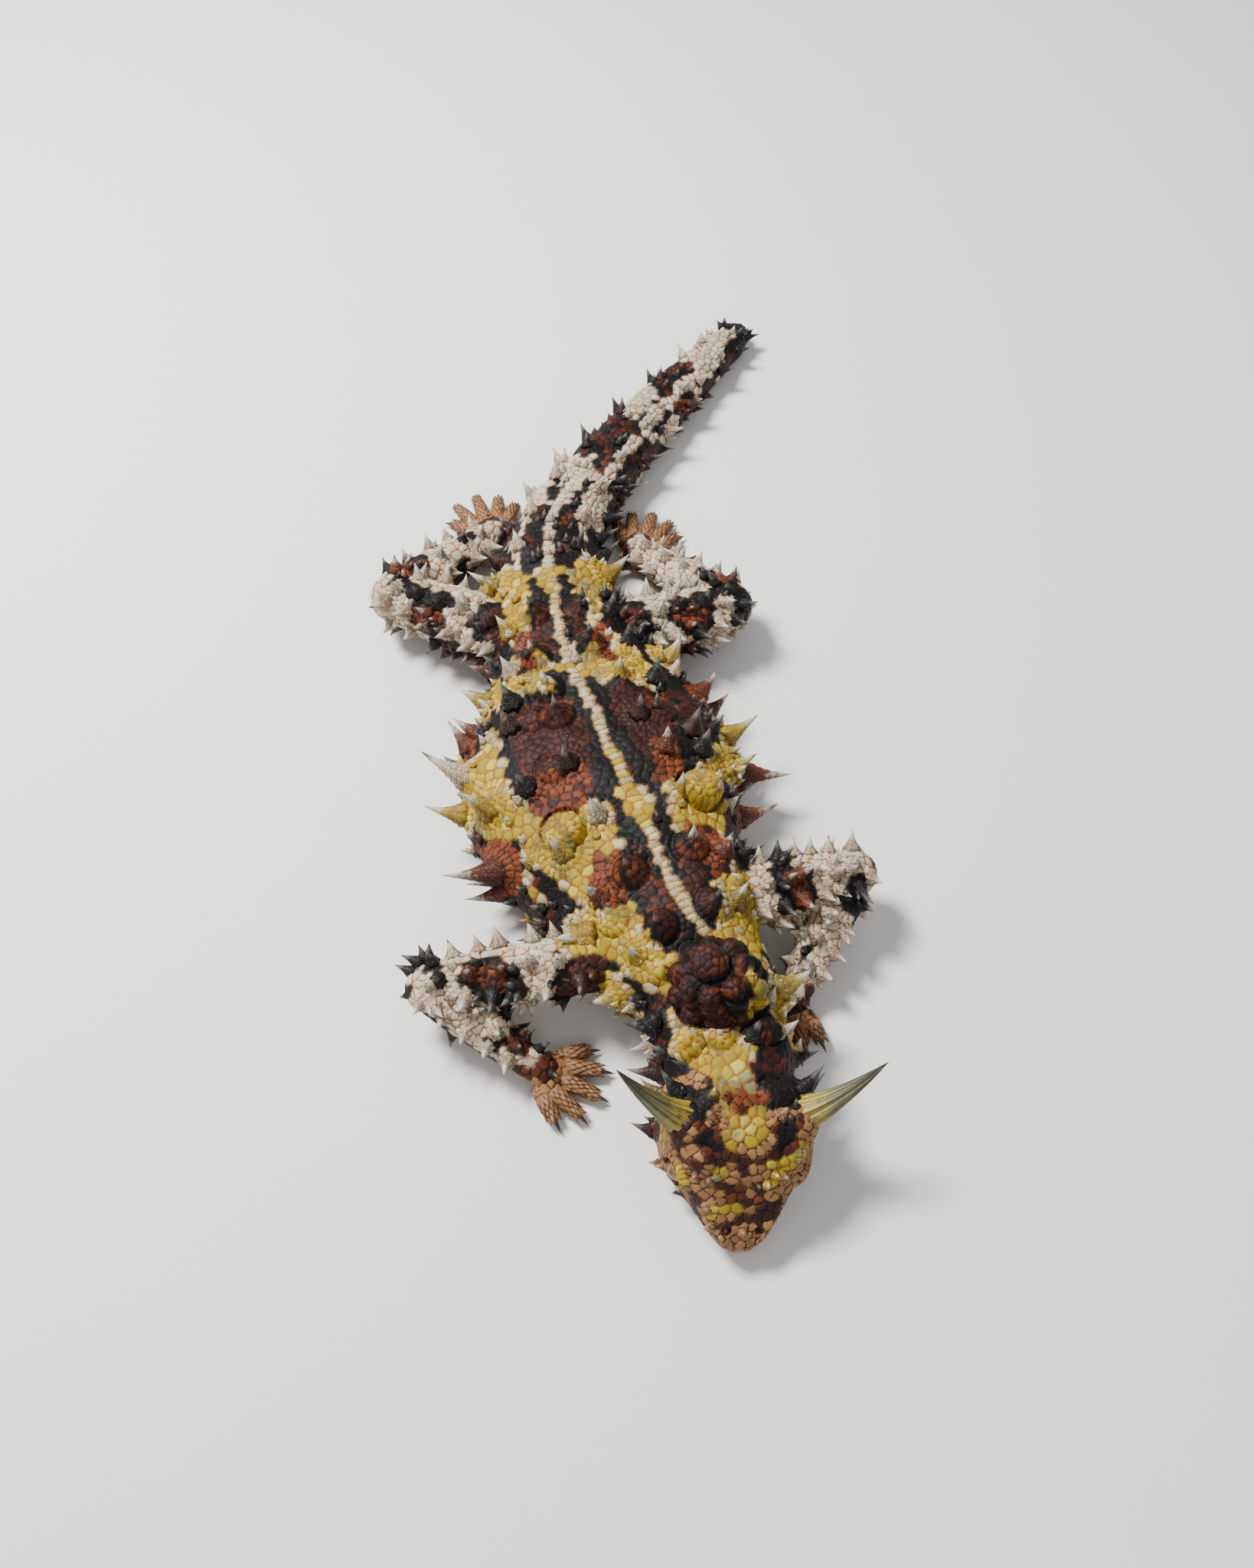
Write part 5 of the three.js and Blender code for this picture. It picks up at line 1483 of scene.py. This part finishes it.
def cones(root, way, length, radius, bend, rings, sides, ribs=0, sharp=1.1, flare=0.35, grain=0.0, tile=None):
    """Many curved cones at once: corners, faces, height along each, rib depth and number of the cone.

    Grain raises small scales in rings. Tile holds each one's outward way and flattens it against the skin."""
    root, way, bend = np.asarray(root), unit(np.asarray(way)), np.asarray(bend)
    count = len(root)
    u = unit(np.cross(way, np.array([0.31, 0.23, 0.92]) if tile is None else tile))
    v = np.cross(way, u) * (1 if tile is None else TILE)
    h = np.linspace(0, 1, rings)
    h[0] = -FOOT
    clipped = np.clip(h, 0, 1)
    shape = np.maximum((1 - flare) * (1 - clipped) ** sharp + flare * (1 - clipped) ** 4, POINT)
    angle = 2 * np.pi * np.arange(sides) / sides
    rib = 0.5 + 0.5 * np.cos(ribs * angle) if ribs else np.zeros(sides)
    wide = radius[:, None, None] * shape[None, :, None] * (1 - RIB_DEPTH * rib[None, None, :])
    rows = np.arange(rings)[:, None] % 2
    wide = wide * (1 + grain * np.cos(np.pi * (np.arange(sides)[None] + rows)) * (1 - clipped[:, None]))[None]
    centre = root[:, None] + (way * length[:, None])[:, None] * h[None, :, None]
    centre = centre + bend[:, None] * (clipped**2)[None, :, None]
    circle = np.cos(angle)[None, :, None] * u[:, None] + np.sin(angle)[None, :, None] * v[:, None]
    points = centre[:, :, None] + wide[..., None] * circle[:, None]
    caps = np.stack([centre[:, 0], centre[:, -1] + way * (0.01 * length[:, None])], 1)
    points = np.concatenate([points.reshape(count, -1, 3), caps], 1)
    size = rings * sides + 2
    j = np.arange(sides)
    top = (rings - 1) * sides
    foot_cap = np.stack([(j + 1) % sides, j, np.full(sides, size - 2)], -1)
    tip_cap = np.stack([top + j, top + (j + 1) % sides, np.full(sides, size - 1)], -1)
    shift = np.arange(count)[:, None, None] * size
    quads = (ring_quads(rings - 1, sides)[None] + shift).reshape(-1, 4)
    tris = (np.concatenate([foot_cap, tip_cap])[None] + shift).reshape(-1, 3)
    height = np.append(np.repeat(clipped, sides), [0, 1])
    depth = np.append(np.tile(rib, rings), [0, 0])
    owner = np.repeat(np.arange(count), size)
    return points.reshape(-1, 3), [quads, tris], np.tile(height, count), np.tile(depth, count), owner


def bake_places(place, owner, height):
    """A small patch for each thorn at its root's place on an unwrap of the body's own shape."""
    column = place.kind + 0.25 * np.maximum(place.limb, 0)
    along = np.where(place.kind == AXIAL, place.t / 22, np.clip(place.along / 20, 0, 1))
    around = 0.5 + 0.5 * np.tanh(place.u / 20)
    root = np.stack([0.02 + 0.18 * column + 0.15 * along, 0.03 + 0.9 * around], -1)
    turn = np.arange(len(owner)) % 8
    patch = np.stack([0.0015 * (1 + np.cos(turn)), 0.003 * height], -1)
    return np.clip(root[owner] + patch, 0, 1)


def coat_piece(name, made, skin, nearest_scale, material):
    """A joined mesh of thorns, each in the markings of the skin under it."""
    points, faces, height, rib, owner = made
    points[:, 2] = np.maximum(points[:, 2], 0.02)
    marks, darks = mark_channels(skin.scale_mark[nearest_scale][owner])
    place = Place(skin.scales[nearest_scale])
    attributes = [
        ("marks", marks),
        ("darks", darks),
        ("scale_tone", skin.scale_tone[nearest_scale][owner]),
        ("height", height),
        ("rib", rib),
    ]
    obj = mesh_object(name, points, faces, attributes, bake_places(place, owner, height))
    obj.data.materials.append(material)
    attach(obj, "root")
    return obj


def colour_property(name, description, default):
    return FloatVectorProperty(
        name=name, description=description, default=default, subtype="COLOR", size=4, min=0, max=1
    )


class LizardLook(bpy.types.PropertyGroup):
    """Colours of the animal and of the stage."""

    cream: colour_property("Cream", "Limbs, bands of the tail and the beaded stripe", (0.46, 0.4, 0.29, 1))
    yellow: colour_property("Yellow", "Bands of the back", (0.34, 0.24, 0.013, 1))
    pale_yellow: colour_property("Pale yellow", "Paler scales of the yellow bands", (0.44, 0.36, 0.075, 1))
    olive: colour_property("Olive", "Greenish shade over the yellow", (0.12, 0.12, 0.035, 1))
    red: colour_property("Red", "Rusty patches beside the saddles", (0.14, 0.031, 0.009, 1))
    brown: colour_property("Brown", "Saddles of the back", (0.042, 0.0095, 0.0045, 1))
    deep_brown: colour_property("Deep brown", "Darker parts of the saddles", (0.022, 0.006, 0.004, 1))
    black: colour_property("Black", "Edges of the saddles and bars", (0.004, 0.003, 0.003, 1))
    tan: colour_property("Tan", "Hands, feet, cheeks and belly", (0.27, 0.14, 0.05, 1))
    rose: colour_property("Rose", "Pinkish cheeks", (0.24, 0.1, 0.045, 1))
    speck: colour_property("Speck", "Blue-grey specks on pale scales", (0.07, 0.078, 0.062, 1))
    pale_seam: colour_property("Pale seam", "Grooves between pale scales", (0.22, 0.066, 0.012, 1))
    dark_seam: colour_property("Dark seam", "Grooves between dark scales", (0.006, 0.003, 0.003, 1))
    tip: colour_property("Thorn tip", "Grey-white of the thorns", (0.5, 0.49, 0.44, 1))
    dark_tip: colour_property("Dark tip", "Ends of thorns, horns and claws", (0.03, 0.02, 0.015, 1))
    iris: colour_property("Iris", "Gold-brown of the eye", (0.17, 0.075, 0.018, 1))
    pupil: colour_property("Pupil", "Centre and rim of the eye", (0.004, 0.003, 0.003, 1))
    floor: colour_property("Floor", "Pale floor", (0.78, 0.77, 0.75, 1))
    floor_shade: colour_property("Floor shade", "Faint unevenness of the floor", (0.6, 0.59, 0.57, 1))


class LizardSizes(bpy.types.PropertyGroup):
    """Fineness and relief of the skin, and the camera's lens."""

    facet: FloatProperty(
        name="Skin fineness", description="Size of the skin's facets, in millimetres", default=0.23, min=0.15
    )
    relief: FloatProperty(
        name="Scale relief", description="How far the scales stand out", default=1.0, min=0, subtype="FACTOR"
    )
    lens: FloatProperty(
        name="Lens", description="Focal length of the camera", default=35.0, min=10, unit="CAMERA"
    )


class SkinMaker(bpy.types.Operator):
    """Make the scaly skin over all of the flesh"""

    bl_idname = "lizard.skin"
    bl_label = "Skin"

    def execute(self, context):
        sizes, look = context.scene.lizard_sizes, context.scene.lizard_look
        skin = Skin(sizes.facet, sizes.relief)
        SKIN["body"] = skin
        obj = mesh_object("skin", skin.points, [skin.quads], skin.attributes())
        obj.data.materials.append(skin_material(look))
        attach(obj, "root")
        flesh = [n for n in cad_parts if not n.startswith(("eye_", "horn_"))]
        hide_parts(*flesh)
        return {"FINISHED"}


class ThornMaker(bpy.types.Operator):
    """Make the rows of thorns on the body, head and limbs"""

    bl_idname = "lizard.thorns"
    bl_label = "Thorns"

    def execute(self, context):
        skin = SKIN["body"]
        thorns = skin.thorns
        scale = nearest_of(tree_of(skin.scales), thorns.root)
        root = thorns.root + thorns.way * (0.1 * thorns.length)[:, None]
        bend = skin.scale_place.way[scale] * (0.14 * thorns.length)[:, None]
        wide = thorns.radius * np.where(skin.scale_place.kind[scale] == LIMB, 1.15, 0.94)
        made = cones(
            root, thorns.way, 0.9 * thorns.length, wide, bend,
            rings=15, sides=18, ribs=6, sharp=0.95, flare=0.36, grain=0.1,
        )
        coat_piece("thorns", made, skin, scale, thorn_material(context.scene.lizard_look))
        return {"FINISHED"}


# Share of the scales that grow a point, by form, and on the flanks and the tail
POINTED = {AXIAL: 0.015, HEADED: 0.06, LIMB: 0.08, HAND: 0.3, KNOB: 0.0}
FLANK_POINTED, TAIL_POINTED = 0.14, 0.09


class PointedScaleMaker(bpy.types.Operator):
    """Make the small pointed scales between the thorns"""

    bl_idname = "lizard.pointed_scales"
    bl_label = "Pointed scales"

    def execute(self, context):
        skin = SKIN["body"]
        place, rng = skin.scale_place, np.random.default_rng(11)
        share, axial = by_key(POINTED, place.kind), place.kind == AXIAL
        share = np.where(axial & (place.w > 0.84), FLANK_POINTED, share)
        share = np.where(axial & (place.t > BACK_END), TAIL_POINTED, share)
        share = np.where(axial & (skin.scale_mark == RED), 0, share)
        eye_gap = np.hypot(-place.local[:, 1] - EYE[0], place.local[:, 2] - EYE[2])
        share = np.where((place.kind == HEADED) & (eye_gap < 2.6), 0, share)
        keep = (rng.random(len(share)) < share) & (skin.scales[:, 2] > 0.8)
        index = np.flatnonzero(keep)
        vertex = nearest_of(skin.tree, skin.scales[index])
        kind = place.kind[index]
        lean = np.where(kind == HAND, 1.6, np.where(kind == AXIAL, 0.5, 0.3))
        way = unit(skin.normals[vertex] + lean[:, None] * place.way[index])
        size = rng.random(len(index))
        length = np.where(kind == LIMB, 1.0 + 1.5 * size**2, 0.8 + 1.1 * size**2)
        length = np.where(kind == HAND, 0.9 + 0.4 * size, length)
        length = np.where(kind == HEADED, 0.7 + 0.6 * size, length)
        radius = np.where(kind == HAND, 0.36, 0.38 + 0.34 * length)
        root = skin.points[vertex] - 0.15 * skin.normals[vertex]
        bend = place.way[index] * (0.1 * length)[:, None]
        made = cones(root, way, length, radius, bend, rings=6, sides=9, sharp=0.95, flare=0.3)
        coat_piece("pointed_scales", made, skin, index, bpy.data.materials["thorn"])
        return {"FINISHED"}


class ToeScaleMaker(bpy.types.Operator):
    """Make the overlapping keeled scales of the fingers and toes"""

    bl_idname = "lizard.toe_scales"
    bl_label = "Toe scales"

    def execute(self, context):
        skin = SKIN["body"]
        root, way, out_way = [], [], []
        for name in LIMBS:
            for path, ahead in digit_paths(name)[0]:
                path = np.array(path[:4])
                side = np.cross(ahead, UP)
                stations = np.concatenate([[0], np.cumsum(np.linalg.norm(np.diff(path, axis=0), axis=1))])
                for k, gone in enumerate(np.arange(0.2, stations[-1] + 0.2, 0.62)):
                    centre = np.array([np.interp(gone, stations, path[:, axis]) for axis in range(3)])
                    wide = np.interp(gone, stations, DIGIT_CORE) * DIGIT_RADIUS
                    for degrees in (15, 52, 90, 128, 165) if k % 2 else (33, 71, 109, 147):
                        out = side * math.cos(math.radians(degrees)) + UP * math.sin(math.radians(degrees))
                        root.append(centre + out * wide)
                        way.append(ahead + 0.24 * out)
                        out_way.append(out)
        root, way, out_way = np.array(root), unit(np.array(way)), np.array(out_way)
        scale = nearest_of(tree_of(skin.scales), root)
        vary = np.random.default_rng(5).random(len(root))
        length, radius = 1.25 + 0.35 * vary, 0.46 + 0.06 * vary
        made = cones(
            root, way, length, radius, -0.1 * out_way, rings=6, sides=8, sharp=0.75, flare=0.1, tile=out_way
        )
        coat_piece("toe_scales", made, skin, scale, toe_material(context.scene.lizard_look))
        return {"FINISHED"}


class HornMaker(bpy.types.Operator):
    """Make the two brow horns"""

    bl_idname = "lizard.horns"
    bl_label = "Horns"

    def execute(self, context):
        material = horn_material(context.scene.lizard_look)
        rings, sides = 60, 72
        for name, (root, start, bend) in zip(("left", "right"), horn_lines()):
            length = np.array([HORN_LENGTH * np.linalg.norm(start)])
            points, faces, height, rib, _ = cones(
                root[None], start[None], length, np.array([HORN_RADIUS]), bend[None],
                rings, sides, ribs=9, sharp=0.85, flare=0.2,
            )
            turn = np.append(np.tile(2 * np.pi * np.arange(sides) / sides, rings), [0, 0])
            strand = 0.25 * np.sin(13 * turn + 4 * height) + 0.25 * np.sin(29 * turn - 5 * height)
            rows = np.sin(height * 75) * np.cos(18 * turn) * (1 - height)
            points = points + unit(points - root) * (0.07 * rows + 0.1 * strand * (1 - height))[:, None]
            attributes = [
                ("height", np.clip((height - 0.2) / 0.8, 0, 1)),
                ("rib", rib * (0.4 + 0.6 * height)),
                ("strand", 0.5 + strand),
            ]
            obj = mesh_object(f"brow_horn_{name}", points, faces, attributes)
            obj.data.materials.append(material)
            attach(obj, "root")
            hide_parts(f"horn_{name}")
        return {"FINISHED"}


class ClawMaker(bpy.types.Operator):
    """Make the claws of all four hands and feet"""

    bl_idname = "lizard.claws"
    bl_label = "Claws"

    def execute(self, context):
        root, way = [], []
        for name in LIMBS:
            for path, ahead in digit_paths(name)[0]:
                root.append(path[3] - 0.3 * ahead)
                way.append(ahead + np.array([0, 0, 0.1]))
        count = len(root)
        length, radius = np.full(count, CLAW_LENGTH), np.full(count, CLAW_RADIUS)
        bend = np.tile([0, 0, -CLAW_DROP], (count, 1))
        points, faces, height, _, _ = cones(
            root, way, length, radius, bend, rings=9, sides=12, sharp=0.8, flare=0.1
        )
        points[:, 2] = np.maximum(points[:, 2], 0.05)
        obj = mesh_object("claws", points, faces, [("height", height)])
        obj.data.materials.append(claw_material(context.scene.lizard_look))
        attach(obj, "root")
        return {"FINISHED"}


class EyeMaker(bpy.types.Operator):
    """Make the eyes and their lids"""

    bl_idname = "lizard.eyes"
    bl_label = "Eyes and lids"

    def execute(self, context):
        material = eye_material(context.scene.lizard_look)
        polar = np.linspace(0.02, np.pi - 0.02, EYE_RINGS)[:, None]
        turn = (2 * np.pi * np.arange(EYE_SIDES) / EYE_SIDES)[None]
        out = np.cos(polar) + 0 * turn
        across, high = np.sin(polar) * np.cos(turn), np.sin(polar) * np.sin(turn)
        bulge = EYE_RADIUS * (1 + 0.06 * step(0.75, 1.0, out))
        for side, name in ((1, "left"), (-1, "right")):
            centre, gaze, flat, tall = eye_frame(side)
            rings = centre + (bulge * out)[..., None] * gaze
            rings = rings + EYE_RADIUS * (across[..., None] * flat + high[..., None] * tall)
            points, quads = closed_loft(rings)
            away = np.linalg.norm(np.cross(points - centre, gaze), axis=1) / EYE_RADIUS
            away = np.where((points - centre) @ gaze < 0, 1.0, away)
            obj = mesh_object(f"eyeball_{name}", points, [quads], [("iris", away)])
            obj.data.materials.append(material)
            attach(obj, "root")
            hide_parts(f"eye_{name}")
            self.lids(name, centre, gaze, flat, tall)
        return {"FINISHED"}

    def lids(self, name, centre, gaze, flat, tall):
        """Two curved lids with beaded rims, that hug the eye and leave an almond opening."""
        cut = np.linspace(-1, 1, 33)[:, None]
        rows = np.linspace(0, 1, 9)[None]
        yaw = cut * 1.38
        lofts = []
        for upper, middle in ((1, 0.74), (-1, 0.62)):
            edge = middle * np.sqrt(np.maximum(1 - cut**2, 0)) ** 1.2
            rise = upper * (edge + (1.35 - edge) * rows)
            way = (np.sin(yaw) * np.cos(rise))[..., None] * flat + np.sin(rise)[..., None] * tall
            way = way + (np.cos(yaw) * np.cos(rise))[..., None] * gaze
            inner, outer = (
                centre + (EYE_RADIUS * shell * (1 + 0.12 * rows) + bead * (rows < 0.3))[..., None] * way
                for shell, bead in ((1.03, 0 * cut), (1.2, 0.035 * np.cos(cut * 30)))
            )
            lofts.append(closed_loft(np.concatenate([inner, outer[:, ::-1]], 1)))
        points, quads = joined(lofts)
        away = np.linalg.norm(points - centre, axis=1) / EYE_RADIUS
        count = len(points)
        attributes = [
            ("marks", np.zeros((count, 3))),
            ("darks", np.tile([0.35, 0.65, 0.0], (count, 1))),
            ("scale_tone", 0.5 + 0.4 * np.sin(points @ flat * 9)),
            ("groove", np.clip((1.12 - away) * 4, 0, 1)),
        ]
        obj = mesh_object(f"lids_{name}", points, [quads], attributes)
        obj.data.materials.append(bpy.data.materials["scaly_skin"])
        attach(obj, "root")


# Lights: name, kind, place in metres, size or angle, and strength
LIGHTS = (
    ("key", "AREA", (-0.2, 0.12, 0.36), 0.11, 4.2),
    ("front", "AREA", (0.05, -0.5, 0.3), 0.4, 0.6),
    ("fill", "SUN", (0.35, -0.2, 0.9), 1.4, 0.3),
)
LIGHT_TARGET = (0, 0.01, 0)
WORLD_COLOUR, WORLD_STRENGTH = (0.95, 0.97, 1.0, 1), 0.45
# The floor in millimetres, and the camera's place in metres, tilt in degrees and sensor in millimetres
FLOOR_HALF, FLOOR_LEVEL = 1500.0, -0.02
CAMERA_PLACE, CAMERA_TILT, SENSOR = (0, -0.1091, 0.1803), 33, 36


class StageMaker(bpy.types.Operator):
    """Make the pale floor, the soft studio light and the camera"""

    bl_idname = "lizard.stage"
    bl_label = "Stage"

    def execute(self, context):
        scene = context.scene
        square = ((-1, -1), (1, -1), (1, 1), (-1, 1))
        corners = np.array([[FLOOR_HALF * x, FLOOR_HALF * y, FLOOR_LEVEL] for x, y in square])
        floor = mesh_object("floor", corners, [np.array([[0, 1, 2, 3]])])
        floor.data.materials.append(stage_material(scene.lizard_look))
        world = bpy.data.worlds.new("studio")
        world.use_nodes = True
        background = world.node_tree.nodes["Background"]
        background.inputs[0].default_value = WORLD_COLOUR
        background.inputs[1].default_value = WORLD_STRENGTH
        scene.world = world
        for name, kind, spot, size, energy in LIGHTS:
            lamp = bpy.data.lights.new(name, kind)
            lamp.energy = energy
            setattr(lamp, "angle" if kind == "SUN" else "size", size)
            way = Vector(LIGHT_TARGET) - Vector(spot)
            self.hold(scene, name, lamp, spot, way.to_track_quat("-Z", "Y").to_euler())
        camera = bpy.data.cameras.new("camera")
        camera.lens = scene.lizard_sizes.lens
        camera.sensor_fit = "VERTICAL"
        camera.sensor_height = camera.sensor_width = SENSOR
        camera.clip_start = 0.01
        scene.camera = self.hold(scene, "camera", camera, CAMERA_PLACE, (math.radians(CAMERA_TILT), 0, 0))
        return {"FINISHED"}

    def hold(self, scene, name, data, place, turn):
        holder = bpy.data.objects.new(name, data)
        holder.location = place
        holder.rotation_euler = turn
        scene.collection.objects.link(holder)
        return holder


MAKERS = (SkinMaker, ThornMaker, PointedScaleMaker, ToeScaleMaker, HornMaker, ClawMaker, EyeMaker, StageMaker)


class LizardPanel(bpy.types.Panel):
    """Sizes, colours and makers of the lizard"""

    bl_idname = "VIEW3D_PT_lizard"
    bl_label = "Thorny devil"
    bl_space_type = "VIEW_3D"
    bl_region_type = "UI"
    bl_category = "Lizard"

    def draw(self, context):
        layout = self.layout
        for settings in (context.scene.lizard_sizes, context.scene.lizard_look):
            for name in settings.__annotations__:
                layout.prop(settings, name)
        for maker in MAKERS:
            layout.operator(maker.bl_idname)


CLASSES = (LizardLook, LizardSizes, *MAKERS, LizardPanel)


def register():
    for cls in CLASSES:
        bpy.utils.register_class(cls)
    bpy.types.Scene.lizard_look = PointerProperty(type=LizardLook)
    bpy.types.Scene.lizard_sizes = PointerProperty(type=LizardSizes)


def unregister():
    del bpy.types.Scene.lizard_look
    del bpy.types.Scene.lizard_sizes
    for cls in reversed(CLASSES):
        bpy.utils.unregister_class(cls)


def main():
    register()
    bpy.ops.lizard.skin()
    bpy.ops.lizard.thorns()
    bpy.ops.lizard.pointed_scales()
    bpy.ops.lizard.toe_scales()
    bpy.ops.lizard.horns()
    bpy.ops.lizard.claws()
    bpy.ops.lizard.eyes()
    bpy.ops.lizard.stage()


if __name__ == "__main__":
    main()
